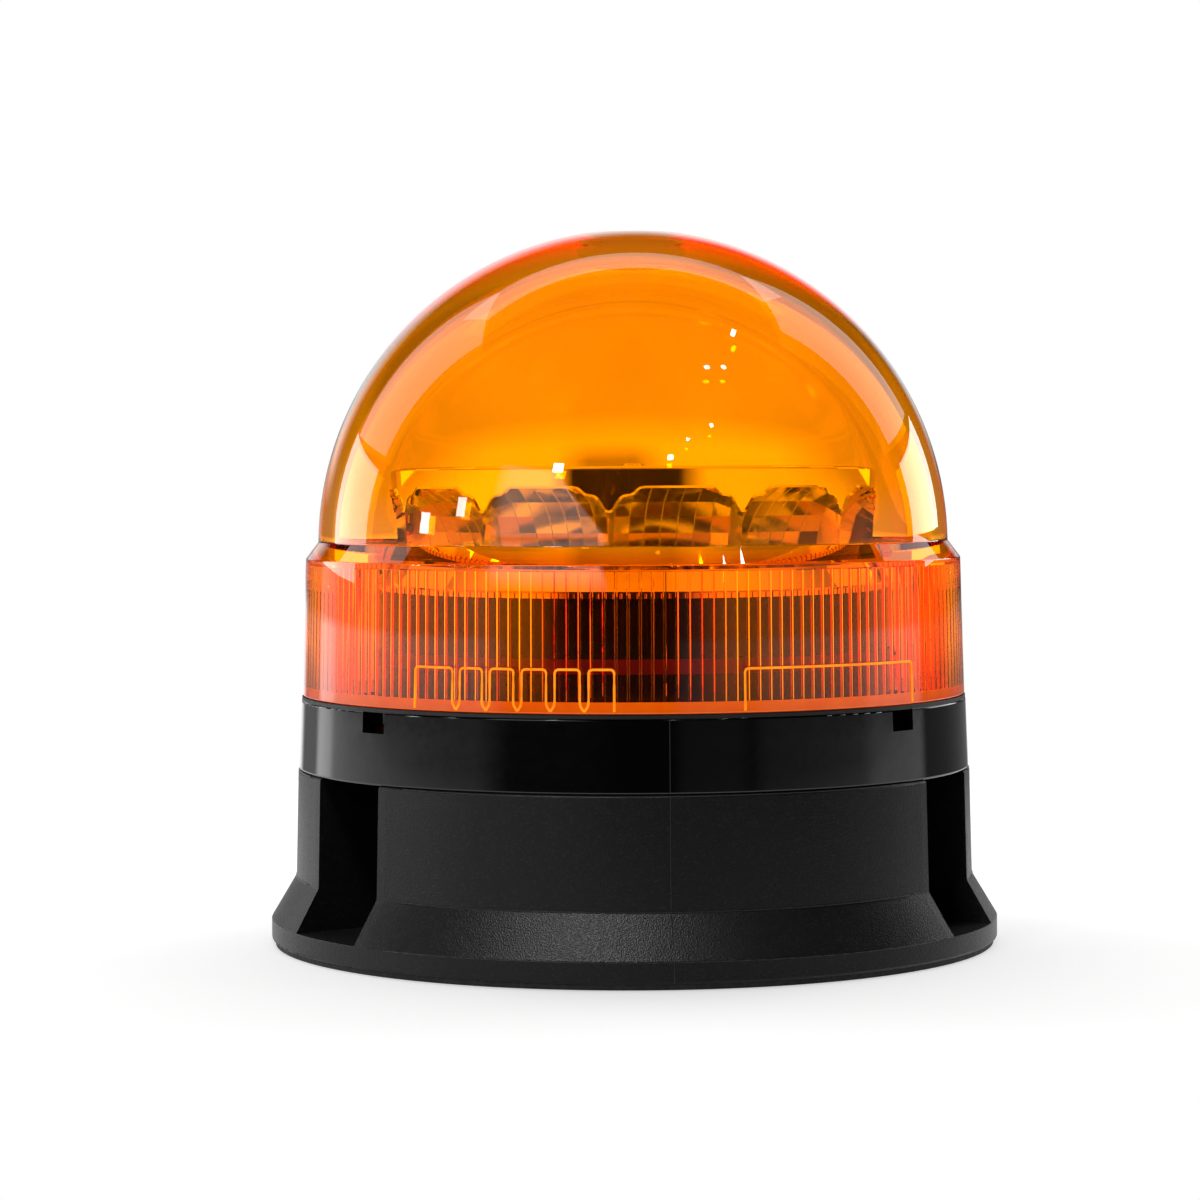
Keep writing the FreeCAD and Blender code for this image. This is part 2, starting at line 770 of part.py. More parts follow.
def reflector():
    core = drum_core_radius
    rim = drum_radius + drum_draft
    post = drum_post_diameter / 2
    skirt = pedestal_radius - reflector_skirt_wall
    dish = rim_level - drum_rim_height
    roof = rim_level - drum_top
    rim_inner = rim - drum_rim_width
    body = turned_solid([(core, led_board_level), (skirt, led_board_level), (skirt, module_level),
                         (pedestal_radius, module_level), (pedestal_radius, reflector_level, edge_round),
                         (drum_radius, reflector_level), (rim, rim_level), (rim_inner, rim_level),
                         (rim_inner - drum_rim_height, dish), (0, dish), (0, led_board_level),
                         (post, led_board_level), (post, roof), (core, roof)])
    low = led_board_level - cut_over
    opening_radius = led_size / math.sqrt(2) + led_opening_clearance
    opening = disc(opening_radius, low, reflector_level + cut_over, led_radius)
    cuts = round_each(niche_cutter(), niche_bearings) + round_each(opening, niche_bearings)
    cuts.append(screw_hole(case_screw, 0, low, rim_level + cut_over))
    return cut_all(body, cuts)


def reflector_screw():
    seat = rim_level - drum_rim_height
    length = seat - module_level + spreader_thickness / 2
    return [pan_screw(case_screw, 0, seat, length)]


def export(name, shapes):
    shape = Part.makeCompound(shapes) if isinstance(shapes, list) else shapes
    if len(shape.Solids) == 1:
        shape = shape.Solids[0]
    shape.exportStep("parts/" + name + ".step")


pieces = [rubber_pad, base_housing, cable_grommet, bottom_plate, plate_screws, magnet_pot, ferrite_ring,
          magnet_screws, driver_board, board_screws, capacitors, choke, driver_chips, terminal_block,
          led_wires, upper_collar, deck_screws, lens_seal, amber_lens, lower_pedestal, pedestal_screws,
          module_gasket, module_cup, module_screws, heat_spreader, led_board, spreader_screws, led_packages,
          led_lenses, reflector, reflector_screw]

os.makedirs("parts", exist_ok=True)
for piece in pieces:
    export(piece.__name__, piece())
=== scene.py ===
import json
import math

import bmesh
import bpy
from mathutils import Matrix, Vector


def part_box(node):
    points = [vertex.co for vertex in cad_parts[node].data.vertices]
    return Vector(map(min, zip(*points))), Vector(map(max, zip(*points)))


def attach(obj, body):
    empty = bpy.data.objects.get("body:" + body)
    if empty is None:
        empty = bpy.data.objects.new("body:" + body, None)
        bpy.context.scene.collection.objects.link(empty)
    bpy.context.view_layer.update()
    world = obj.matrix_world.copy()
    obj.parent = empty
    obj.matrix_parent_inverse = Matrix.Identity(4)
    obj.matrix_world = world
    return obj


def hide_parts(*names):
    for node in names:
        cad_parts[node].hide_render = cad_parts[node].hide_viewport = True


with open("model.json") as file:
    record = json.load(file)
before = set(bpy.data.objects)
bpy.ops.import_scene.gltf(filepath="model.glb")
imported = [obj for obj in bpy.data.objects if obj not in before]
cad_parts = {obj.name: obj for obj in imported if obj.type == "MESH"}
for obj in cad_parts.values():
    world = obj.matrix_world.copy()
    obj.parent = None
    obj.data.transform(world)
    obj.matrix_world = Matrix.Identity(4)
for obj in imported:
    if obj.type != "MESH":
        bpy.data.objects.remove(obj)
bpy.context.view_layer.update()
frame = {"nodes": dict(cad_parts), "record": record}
scene = bpy.context.scene
scene.view_settings.view_transform = "Standard"
mm = 0.001
print("frame loaded:", len(frame["nodes"]), "nodes")


# Small helpers. Sizes below are in millimetres; a bearing is the angle from the front, positive to the right.
def onCircle(radius, bearing, level):
    angle = math.radians(bearing)
    return Vector((radius * math.sin(angle), -radius * math.cos(angle), level)) * mm


def newObject(name, mesh):
    obj = bpy.data.objects.new(name, mesh)
    scene.collection.objects.link(obj)
    return obj


def toMesh(bm, name):
    mesh = bpy.data.meshes.new(name)
    bm.to_mesh(mesh)
    bm.free()
    return mesh


def smoothUnder(obj, angle):
    # Rounds the shading over edges that turn by less than the angle
    obj.data.shade_smooth()
    obj.data.set_sharp_from_angle(angle=math.radians(angle))


def addNode(tree, kind, inputs=None, **settings):
    node = tree.nodes.new(kind)
    for key, value in settings.items():
        setattr(node, key, value)
    for key, value in (inputs or {}).items():
        if isinstance(value, bpy.types.NodeSocket):
            tree.links.new(value, node.inputs[key])
        else:
            node.inputs[key].default_value = value
    return node


def mathNode(tree, operation, a, b=0.0):
    return addNode(tree, "ShaderNodeMath", {0: a, 1: b}, operation=operation).outputs[0]


def product(tree, first, *others):
    for other in others:
        first = mathNode(tree, "MULTIPLY", first, other)
    return first


def namedValue(tree, name, kind):
    return addNode(tree, "GeometryNodeInputNamedAttribute", {"Name": name}, data_type=kind).outputs[0]


def paint(tree, geometry, material, selection=True):
    return addNode(tree, "GeometryNodeSetMaterial", {"Geometry": geometry, "Selection": selection,
                                                     "Material": material}).outputs[0]


def flatten(tree, axes):
    return addNode(tree, "ShaderNodeCombineXYZ", {0: axes[0], 1: axes[1]}).outputs[0]


def splitAxes(tree, place):
    return addNode(tree, "ShaderNodeSeparateXYZ", {0: place}).outputs


def geometryTree(name, inputs):
    tree = bpy.data.node_groups.new(name, "GeometryNodeTree")
    tree.interface.new_socket("Geometry", in_out="INPUT", socket_type="NodeSocketGeometry")
    for label, kind in inputs:
        tree.interface.new_socket(label, in_out="INPUT", socket_type="NodeSocket" + kind)
    tree.interface.new_socket("Geometry", in_out="OUTPUT", socket_type="NodeSocketGeometry")
    return tree, tree.nodes.new("NodeGroupInput").outputs


def closeTree(tree, geometry, material, selection=True):
    realized = addNode(tree, "GeometryNodeRealizeInstances", {"Geometry": geometry}).outputs[0]
    painted = paint(tree, realized, material, selection)
    tree.links.new(painted, tree.nodes.new("NodeGroupOutput").inputs[0])


def bakeTree(obj, tree, settings):
    modifier = obj.modifiers.new("shape", "NODES")
    modifier.node_group = tree
    for item in tree.interface.items_tree:
        if item.in_out == "INPUT" and item.name in settings:
            modifier[item.identifier] = settings[item.name]
    graph = bpy.context.evaluated_depsgraph_get()
    baked = bpy.data.meshes.new_from_object(obj.evaluated_get(graph))
    obj.modifiers.remove(modifier)
    obj.data = baked


def roundedPath(corners, steps):
    # Open path of (radius, level) points, with each (radius, level, rounding) corner turned into an arc
    points = [Vector(corner[:2]) for corner in corners]
    path = [points[0]]
    for i in range(1, len(corners) - 1):
        rounding = corners[i][2] if len(corners[i]) > 2 else 0.0
        if rounding == 0.0:
            path.append(points[i])
            continue
        before = (points[i - 1] - points[i]).normalized()
        after = (points[i + 1] - points[i]).normalized()
        half = before.angle(after) / 2
        centre = points[i] + (before + after).normalized() * (rounding / math.sin(half))
        start = points[i] + before * (rounding / math.tan(half)) - centre
        end = points[i] + after * (rounding / math.tan(half)) - centre
        turn = start.angle(end)
        for k in range(steps + 1):
            share = k / steps
            arm = start * math.sin((1 - share) * turn) + end * math.sin(share * turn)
            path.append(centre + arm / math.sin(turn))
    path.append(points[-1])
    return [(p.x, p.y) for p in path]


# Finishes
def newMaterial(name):
    material = bpy.data.materials.new(name)
    material.use_nodes = True
    tree = material.node_tree
    shader = tree.nodes["Principled BSDF"]
    place = addNode(tree, "ShaderNodeTexCoord").outputs["Object"]
    return material, tree, shader, place


def grain(tree, place, scale, detail=2.0, roughness=0.5):
    return addNode(tree, "ShaderNodeTexNoise", {"Vector": place, "Scale": scale, "Detail": detail,
                                                "Roughness": roughness}).outputs["Fac"]


# the part of a grain's range that holds most of its values
grainLow, grainHigh = 0.3, 0.7


def spread(tree, value, low, high, fromLow=grainLow, fromHigh=grainHigh):
    return addNode(tree, "ShaderNodeMapRange", {"Value": value, "From Min": fromLow, "From Max": fromHigh,
                                                "To Min": low, "To Max": high}).outputs[0]


def blendColours(tree, factor, first, second):
    ramp = addNode(tree, "ShaderNodeValToRGB", {"Fac": factor})
    for element, position, colour in zip(ramp.color_ramp.elements, (grainLow, grainHigh), (first, second)):
        element.position = position
        element.color = (*colour, 1)
    return ramp.outputs[0]


def mixColours(tree, factor, first, second):
    inputs = {"Factor": factor, 6: first, 7: (*second, 1)}
    return addNode(tree, "ShaderNodeMix", inputs, data_type="RGBA").outputs[2]


def bump(tree, shader, height, strength, distance):
    node = addNode(tree, "ShaderNodeBump", {"Height": height, "Strength": strength, "Distance": distance})
    tree.links.new(node.outputs[0], shader.inputs["Normal"])


plainGrain = {"clouds": 8, "detail": 3.0, "height": 0.0001}


def plainFinish(name, first, second, roughness, scale, texture=0.0, metallic=0.0):
    # Two close colours in a cloudy mix, a roughness range and a fine grain
    material, tree, shader, place = newMaterial(name)
    clouds = grain(tree, place, scale / plainGrain["clouds"])
    fine = grain(tree, place, scale, plainGrain["detail"])
    tree.links.new(blendColours(tree, clouds, first, second), shader.inputs["Base Color"])
    tree.links.new(spread(tree, fine, *roughness), shader.inputs["Roughness"])
    shader.inputs["Metallic"].default_value = metallic
    if texture:
        bump(tree, shader, fine, texture, plainGrain["height"])
    return material


# Clear amber: the two tints of the dome, the deeper tint of the ring and the levels between which they change
amber = {"light": (1.0, 0.655, 0.055), "deep": (1.0, 0.625, 0.040), "ring": (1.0, 0.37, 0.030),
         "ringLevel": (0.0735, 0.0765), "clouds": 30.0, "ior": 1.58, "ripple": 0.02, "rippleScale": 60.0,
         "rippleHeight": 0.0005, "absorption": (0.998, 0.83, 0.02), "density": 420.0}


def amberClear():
    material, tree, shader, place = newMaterial("amberClear")
    clear = blendColours(tree, grain(tree, place, amber["clouds"]), amber["light"], amber["deep"])
    thick = spread(tree, splitAxes(tree, place)[2], 1.0, 0.0, *amber["ringLevel"])
    tree.links.new(mixColours(tree, thick, clear, amber["ring"]), shader.inputs["Base Color"])
    shader.inputs["Roughness"].default_value = 0.0
    shader.inputs["IOR"].default_value = amber["ior"]
    shader.inputs["Transmission Weight"].default_value = 1.0
    bump(tree, shader, grain(tree, place, amber["rippleScale"], 1.0), amber["ripple"], amber["rippleHeight"])
    depth = addNode(tree, "ShaderNodeVolumeAbsorption", {"Color": (*amber["absorption"], 1),
                                                         "Density": amber["density"]})
    tree.links.new(depth.outputs[0], tree.nodes["Material Output"].inputs["Volume"])
    return material


# Grain of a spark-eroded mould: how many grains stand out as painted glints, their colour, and the height of
# the pits
pits = {"lone": 0.9, "bright": (0.32, 0.32, 0.33), "clouds": 40.0, "fine": 0.8, "detail": 3.0,
        "roughness": 0.6, "height": 0.0001}


def moulded(name, dark, pale, roughness, pitch, strength, sparkle=0.0, gloss=0.5):
    # Black plastic with fine pits, and a few grains painted pale as glints
    material, tree, shader, place = newMaterial(name)
    cells = addNode(tree, "ShaderNodeTexVoronoi", {"Vector": place, "Scale": pitch}).outputs
    fine = grain(tree, place, pitch * pits["fine"], pits["detail"], pits["roughness"])
    shade = blendColours(tree, grain(tree, place, pits["clouds"]), dark, pale)
    # painted glints: a few cells lightened towards the pale grain colour
    if sparkle:
        draw = addNode(tree, "ShaderNodeSeparateColor", {"Color": cells["Color"]}).outputs[0]
        lone = mathNode(tree, "GREATER_THAN", draw, pits["lone"])
        shade = mixColours(tree, product(tree, lone, sparkle), shade, pits["bright"])
    tree.links.new(shade, shader.inputs["Base Color"])
    tree.links.new(spread(tree, fine, *roughness), shader.inputs["Roughness"])
    shader.inputs["Specular IOR Level"].default_value = gloss
    bump(tree, shader, mathNode(tree, "ADD", fine, cells["Distance"]), strength, pits["height"])
    return material


# Chrome on plastic, a little duller in the niches than on the drum's wall
chrome = {"dull": (0.90, 0.90, 0.91), "bright": (0.95, 0.95, 0.96), "haze": 90.0, "roughness": (0.015, 0.04),
          "nicheRoughness": 0.11, "wallFrom": (0.0445, 0.0455), "ripple": 0.02, "rippleScale": 140.0,
          "rippleHeight": 0.0005}


def chromed():
    material, tree, shader, place = newMaterial("chromedPlastic")
    haze = grain(tree, place, chrome["haze"], 4.0)
    tree.links.new(blendColours(tree, haze, chrome["dull"], chrome["bright"]), shader.inputs["Base Color"])
    flat = flatten(tree, splitAxes(tree, place))
    outward = addNode(tree, "ShaderNodeVectorMath", {0: flat}, operation="LENGTH").outputs["Value"]
    inNiche = spread(tree, outward, chrome["nicheRoughness"], 0.0, *chrome["wallFrom"])
    rough = mathNode(tree, "ADD", spread(tree, haze, *chrome["roughness"]), inNiche)
    tree.links.new(rough, shader.inputs["Roughness"])
    shader.inputs["Metallic"].default_value = 1.0
    ripple = grain(tree, place, chrome["rippleScale"], 1.0)
    bump(tree, shader, ripple, chrome["ripple"], chrome["rippleHeight"])
    return material


# Black mouldings: dark and pale tone, roughness range, grain pitch and strength, then painted sparkle and
# gloss
blacks = {
    "gloss_black": ("glossBlack", (0.0025, 0.0025, 0.003), (0.004, 0.004, 0.0045), (0.06, 0.11), 900, 0.006),
    "matte_black": ("matteBlack", (0.0028, 0.0028, 0.0032), (0.0045, 0.0045, 0.005), (0.3, 0.44), 3600, 0.5,
                    0.02, 0.21),
    "inner_black": ("innerBlack", (0.007, 0.007, 0.008), (0.011, 0.011, 0.012), (0.12, 0.22), 1800, 0.05),
}
# Other finishes: two close colours, roughness range, grain scale and strength, then metal
plains = {
    "seal_rubber": ("sealRubber", (0.010, 0.010, 0.010), (0.016, 0.016, 0.017), (0.45, 0.6), 1500, 0.1),
    "pad_rubber": ("padRubber", (0.012, 0.012, 0.012), (0.022, 0.022, 0.022), (0.65, 0.85), 1200, 0.3),
    "red_silicone": ("redSilicone", (0.22, 0.011, 0.007), (0.30, 0.016, 0.009), (0.35, 0.5), 900, 0.05),
    "zinc_steel": ("zincSteel", (0.60, 0.60, 0.62), (0.70, 0.70, 0.70), (0.2, 0.38), 1400, 0.06, 1.0),
    "plain_aluminium": ("turnedAluminium", (0.74, 0.74, 0.75), (0.82, 0.82, 0.83), (0.25, 0.4), 1600, 0.08,
                        1.0),
    "can_aluminium": ("canSleeve", (0.03, 0.03, 0.06), (0.05, 0.05, 0.09), (0.3, 0.4), 700, 0.02),
    "ferrite": ("groundFerrite", (0.045, 0.045, 0.048), (0.075, 0.075, 0.08), (0.5, 0.7), 900, 0.2),
    "board_green": ("solderMask", (0.015, 0.14, 0.05), (0.03, 0.20, 0.08), (0.25, 0.4), 600, 0.05),
    "board_white": ("whiteMask", (0.78, 0.78, 0.75), (0.85, 0.85, 0.82), (0.3, 0.45), 600, 0.05),
    "terminal_green": ("terminalGreen", (0.03, 0.27, 0.09), (0.05, 0.34, 0.12), (0.35, 0.5), 800, 0.05),
    "wire_red": ("redInsulation", (0.45, 0.015, 0.015), (0.55, 0.025, 0.02), (0.35, 0.5), 900, 0.04),
    "led_yellow": ("phosphor", (0.85, 0.62, 0.10), (0.92, 0.72, 0.18), (0.4, 0.6), 1500, 0.08),
}
ledGlass = {"dull": (0.95, 0.93, 0.86), "bright": (0.98, 0.96, 0.9), "clouds": 300.0, "roughness": 0.03,
            "ior": 1.41}


def ledClear():
    material, tree, shader, place = newMaterial("ledClear")
    clear = blendColours(tree, grain(tree, place, ledGlass["clouds"]), ledGlass["dull"], ledGlass["bright"])
    tree.links.new(clear, shader.inputs["Base Color"])
    shader.inputs["Roughness"].default_value = ledGlass["roughness"]
    shader.inputs["IOR"].default_value = ledGlass["ior"]
    shader.inputs["Transmission Weight"].default_value = 1.0
    return material


edgeLit = {"clouds": 260.0, "grain": 1500.0, "roughness": (0.4, 0.55), "gloss": 0.2}


def amberEdgesPaintedGlow(name, dark, pale, glow):
    # Painted glow: emission stands in for the light that runs round inside the lens wall and comes out at its
    # unpolished edges
    material, tree, shader, place = newMaterial(name)
    shade = blendColours(tree, grain(tree, place, edgeLit["clouds"], 4.0), dark, pale)
    tree.links.new(shade, shader.inputs["Base Color"])
    tree.links.new(shade, shader.inputs["Emission Color"])
    fine = grain(tree, place, edgeLit["grain"])
    tree.links.new(spread(tree, fine, *edgeLit["roughness"]), shader.inputs["Roughness"])
    shader.inputs["Specular IOR Level"].default_value = edgeLit["gloss"]
    shader.inputs["Emission Strength"].default_value = glow
    return material


finishes = {"amber": amberClear(), "bright_metallised": chromed(), "led_clear": ledClear()}
finishes.update({slot: moulded(*look) for slot, look in blacks.items()})
finishes.update({slot: plainFinish(*look) for slot, look in plains.items()})
# amber with a painted glow, for the plain rim of the lens and the tab beads
paintedGlowEdgeFinish = amberEdgesPaintedGlow("amberEdgesPaintedGlow", (0.92, 0.27, 0.010), (1.0, 0.36, 0.016), 0.6)
paintedGlowBeadFinish = amberEdgesPaintedGlow("amberBeadsPaintedGlow", (0.90, 0.21, 0.004), (1.0, 0.30, 0.008), 0.95)
# paler black for the mould line and base edge beads: a painted highlight on top of the light the beads catch
ridgePaintedHighlightFinish = plainFinish("mouldEdgesPaintedHighlight", (0.018, 0.018, 0.019), (0.03, 0.03, 0.032), (0.25, 0.4), 2000, 0.1)
# painted shade: a dark amber on the part of the lens inside the collar, which no light reaches
paintedShadeFinish = plainFinish("amberInCollarPaintedShade", (0.030, 0.006, 0.001), (0.045, 0.010, 0.002), (0.25, 0.4), 600,
                           0.03)
slotOf = {row["node"]: row["material_slot"] for row in frame["record"]["subparts"]}
for nodeName, obj in frame["nodes"].items():
    obj.material_slots[0].material = finishes[slotOf[nodeName]]
print("finishes:", len(bpy.data.materials))


# Amber lens: one closed shell, crown to foot outside, then foot to crown inside
lens = {
    "crownRadius": 9.6, "topLevel": 136.0, "domeRadius": 60.6, "domeLevel": 76.17, "shoulderLevel": 76.97,
    "ringRadius": 63.0, "ringLevel": 73.77, "footRadius": 63.8, "footLevel": 47.7, "spigotRadius": 60.6,
    "spigotBore": 58.6, "spigotLevel": 42.0, "innerRadius": 57.6, "innerRise": 56.4, "landRadius": 59.9,
    "neckRound": 0.5, "ringRound": 0.45, "footRound": 0.3, "roundSteps": 6, "columns": 360, "domeRows": 60,
    "sharpFrom": 18, "ribTop": 72.57, "ribFoot": 49.7, "ribRoot": 60.9, "ribHeight": 0.55, "ribCount": 180,
}
# Widths of a rib's foot and tip, as shares of the pitch
ribShape = {"foot": 0.26, "tip": 0.13}


def lensRows():
    size = lens
    centre = size["domeLevel"]
    crownAngle = math.acos(size["crownRadius"] / size["domeRadius"])
    footAngle = math.asin((size["shoulderLevel"] - centre) / size["domeRadius"])
    outer = [(size["crownRadius"] * share, size["topLevel"]) for share in (0.3, 0.6, 0.9)]
    for i in range(size["domeRows"] + 1):
        angle = crownAngle + (footAngle - crownAngle) * i / size["domeRows"]
        outer.append((size["domeRadius"] * math.cos(angle), centre + size["domeRadius"] * math.sin(angle)))
    footRound = size["footRound"]
    foot = roundedPath([outer[-2], outer[-1] + (size["neckRound"],),
                        (size["ringRadius"], size["ringLevel"], size["ringRound"]),
                        (size["footRadius"], size["footLevel"], footRound),
                        (size["spigotRadius"], size["footLevel"]),
                        (size["spigotRadius"], size["spigotLevel"], footRound),
                        (size["spigotBore"], size["spigotLevel"], footRound),
                        (size["spigotBore"], size["footLevel"])], size["roundSteps"])
    inner = []
    for i in range(size["domeRows"]):
        angle = math.pi / 2 * i / size["domeRows"]
        inner.append((size["innerRadius"] * math.cos(angle), centre + size["innerRise"] * math.sin(angle)))
    plain = [360.0 * i / size["columns"] for i in range(size["columns"])]
    half, tip = ribShape["foot"] / 2, ribShape["tip"] / 2
    land = 1 - 2 * half
    across = (-half, -tip, tip, half, half + land / 3, half + land * 2 / 3)
    ribbed = [360.0 * (k + p) / size["ribCount"] for k in range(size["ribCount"]) for p in across]
    rows = [(r, z, plain) for r, z in outer[:-1] + foot[1:]]
    rows.append((size["landRadius"], size["ribFoot"], plain))
    rows.append((size["ribRoot"], size["ribFoot"], ribbed))
    rows.append((size["ribRoot"], size["ribTop"], ribbed))
    rows.append((size["innerRadius"], size["ribTop"], plain))
    rows += [(r, z, plain) for r, z in inner]
    return rows


def stretch(loop, i, pieces):
    # The i-th of equal stretches of a closed loop, with both its ends
    first, last = i * len(loop) // pieces, (i + 1) * len(loop) // pieces
    return [loop[j % len(loop)] for j in range(first, last + 1)]


def lensShell():
    rows = lensRows()
    near = 0.01
    bm = bmesh.new()
    weight = bm.verts.layers.float.new("ribWeight")
    rim = bm.faces.layers.bool.new("plainRimPaintedGlow")
    inside = bm.faces.layers.bool.new("inCollar")
    loops = []
    for radius, level, bearings in rows:
        loop = [bm.verts.new(onCircle(radius, bearing, level)) for bearing in bearings]
        for vert in loop:
            vert[weight] = float(radius == lens["ribRoot"])
        loops.append(loop)
    for k, (upper, lower) in enumerate(zip(loops, loops[1:])):
        (radius, level), (nextRadius, nextLevel) = rows[k][:2], rows[k + 1][:2]
        isRim = nextLevel == lens["ribFoot"] and nextRadius == lens["landRadius"]
        inCollar = max(level, nextLevel) < lens["footLevel"] + near and radius < lens["spigotRadius"] + near
        shorter = min(len(upper), len(lower))
        for i in range(shorter):
            face = bm.faces.new(stretch(upper, i, shorter)[::-1] + stretch(lower, i, shorter))
            face[rim] = isRim
            face[inside] = inCollar
    for loop, level, upward in ((loops[0], lens["topLevel"], True),
                                (loops[-1], lens["domeLevel"] + lens["innerRise"], False)):
        pole = bm.verts.new((0, 0, level * mm))
        for i in range(len(loop)):
            j = (i + 1) % len(loop)
            bm.faces.new((loop[i], loop[j], pole) if upward else (loop[j], loop[i], pole))
    bmesh.ops.recalc_face_normals(bm, faces=bm.faces)
    return toMesh(bm, "amberLens")


def ribTree():
    # Pulls the marked rows inwards in a run of steep narrow ribs, then paints the plain rim with a painted
    # glow and the spigot with painted shade
    tree, given = geometryTree("lensRibs", [("Rib count", "Int"), ("Rib height", "Float"),
                                            ("Rib width", "Float"), ("Tip width", "Float")])
    axes = splitAxes(tree, addNode(tree, "GeometryNodeInputPosition").outputs[0])
    turns = mathNode(tree, "DIVIDE", mathNode(tree, "ARCTAN2", axes[1], axes[0]), 2 * math.pi)
    phase = mathNode(tree, "FRACT", mathNode(tree, "ADD", product(tree, turns, given["Rib count"]), 0.5))
    aside = mathNode(tree, "ABSOLUTE", mathNode(tree, "SUBTRACT", phase, 0.5))
    within = mathNode(tree, "SUBTRACT", product(tree, given["Rib width"], 0.5), aside)
    flank = product(tree, mathNode(tree, "SUBTRACT", given["Rib width"], given["Tip width"]), 0.5)
    rise = mathNode(tree, "MAXIMUM", mathNode(tree, "DIVIDE", within, flank), 0.0)
    pull = product(tree, mathNode(tree, "MINIMUM", rise, 1.0), given["Rib height"],
                   namedValue(tree, "ribWeight", "FLOAT"))
    unit = addNode(tree, "ShaderNodeVectorMath", {0: flatten(tree, axes)}, operation="NORMALIZE").outputs[0]
    offset = addNode(tree, "ShaderNodeVectorMath", {0: unit, "Scale": product(tree, pull, -1.0)},
                     operation="SCALE").outputs[0]
    moved = addNode(tree, "GeometryNodeSetPosition",
                    {"Geometry": given["Geometry"], "Offset": offset}).outputs[0]
    clear = paint(tree, moved, finishes["amber"])
    shaded = paint(tree, clear, paintedShadeFinish, namedValue(tree, "inCollar", "BOOLEAN"))
    closeTree(tree, shaded, paintedGlowEdgeFinish, namedValue(tree, "plainRimPaintedGlow", "BOOLEAN"))
    return tree


amberLens = newObject("amberLens", lensShell())
bakeTree(amberLens, ribTree(), {"Rib count": lens["ribCount"], "Rib height": lens["ribHeight"] * mm,
                                "Rib width": ribShape["foot"], "Tip width": ribShape["tip"]})
smoothUnder(amberLens, lens["sharpFrom"])
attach(amberLens, "lens")
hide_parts("amber_lens")
print("lens:", len(amberLens.data.polygons), "faces")


# Rubber seal under the lens: radius and level round its section
seal = {"section": [(61.6, 47.05), (63.4, 47.02), (63.55, 46.8), (63.82, 46.8), (63.9, 46.9), (63.9, 47.45),
                    (63.8, 47.58), (61.6, 47.58)],
        "columns": 360, "sharpFrom": 35}


def sealRing():
    bm = bmesh.new()
    section, columns = seal["section"], seal["columns"]
    loops = [[bm.verts.new(onCircle(radius, 360.0 * i / columns, level)) for radius, level in section]
             for i in range(columns)]
    for i in range(columns):
        for k in range(len(section)):
            bm.faces.new((loops[i - 1][k - 1], loops[i][k - 1], loops[i][k], loops[i - 1][k]))
    bmesh.ops.recalc_face_normals(bm, faces=bm.faces)
    return toMesh(bm, "lensSeal")


lensSeal = newObject("lensSeal", sealRing())
lensSeal.data.materials.append(finishes["seal_rubber"])
smoothUnder(lensSeal, seal["sharpFrom"])
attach(lensSeal, "housing")
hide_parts("lens_seal")


# Node runs that several pieces use
beadSides = 8
joinWithin = 0.00001


def sweepRound(tree, line, width):
    curve = addNode(tree, "GeometryNodeMeshToCurve", {"Mesh": line}).outputs[0]
    upright = addNode(tree, "GeometryNodeSetCurveNormal", {"Curve": curve}, mode="Z_UP").outputs[0]
    section = addNode(tree, "GeometryNodeCurvePrimitiveCircle",
                      {"Resolution": beadSides, "Radius": product(tree, width, 0.5)}).outputs[0]
    swept = addNode(tree, "GeometryNodeCurveToMesh",
                    {"Curve": upright, "Profile Curve": section, "Fill Caps": True}).outputs[0]
    return addNode(tree, "GeometryNodeSetShadeSmooth", {"Geometry": swept}).outputs[0]


def setAround(tree, piece, count, first):
    points = addNode(tree, "GeometryNodePoints", {"Count": count}).outputs[0]
    index = addNode(tree, "GeometryNodeInputIndex").outputs[0]
    step = mathNode(tree, "DIVIDE", 2 * math.pi, count)
    turn = mathNode(tree, "ADD", product(tree, index, step), first)
    rotation = addNode(tree, "FunctionNodeAxisAngleToRotation", {"Axis": (0, 0, 1), "Angle": turn}).outputs[0]
    placed = addNode(tree, "GeometryNodeInstanceOnPoints",
                     {"Points": points, "Instance": piece, "Rotation": rotation}).outputs[0]
    return addNode(tree, "GeometryNodeRealizeInstances", {"Geometry": placed}).outputs[0]


def ringTree(name, material, join=False):
    # Sets a piece round the axis, and joins neighbours where they meet
    tree, given = geometryTree(name, [("Count", "Int"), ("First bearing", "Float")])
    whole = setAround(tree, given["Geometry"], given["Count"], given["First bearing"])
    if join:
        whole = addNode(tree, "GeometryNodeMergeByDistance",
                        {"Geometry": whole, "Distance": joinWithin}).outputs[0]
    closeTree(tree, whole, material)
    return tree


def beadTree(name, material):
    # Sweeps a round bead along lines
    tree, given = geometryTree(name, [("Width", "Float")])
    closeTree(tree, sweepRound(tree, given["Geometry"], given["Width"]), material)
    return tree


def beadRingTree(name, material):
    # Sweeps beads along the lines of one sector and sets them round the axis
    tree, given = geometryTree(name, [("Count", "Int"), ("First bearing", "Float"), ("Width", "Float")])
    swept = sweepRound(tree, given["Geometry"], given["Width"])
    closeTree(tree, setAround(tree, swept, given["Count"], given["First bearing"]), material)
    return tree


def lineMesh(name, paths):
    bm = bmesh.new()
    for path in paths:
        verts = [bm.verts.new(point) for point in path]
        for a, b in zip(verts, verts[1:]):
            bm.edges.new((a, b))
    return toMesh(bm, name)


# Chromed reflector: one sector with its niche, set round the axis twelve times
reflectorSize = {
    "count": 12, "firstBearing": 4.6, "floorLevel": 70.0, "rimLevel": 91.0, "footRadius": 45.9,
    "rimRadius": 46.9, "rimWidth": 2.0, "rimRound": 0.7, "rimSteps": 6, "dishDepth": 0.8, "holeRadius": 1.6,
    "nicheDepth": 10.0, "ledRadius": 41.0, "ledOpening": 3.83, "ledSteps": 32, "lipWidth": 0.42,
    "lipProud": 0.32, "seamWidth": 0.2, "sharpFrom": 7,
}
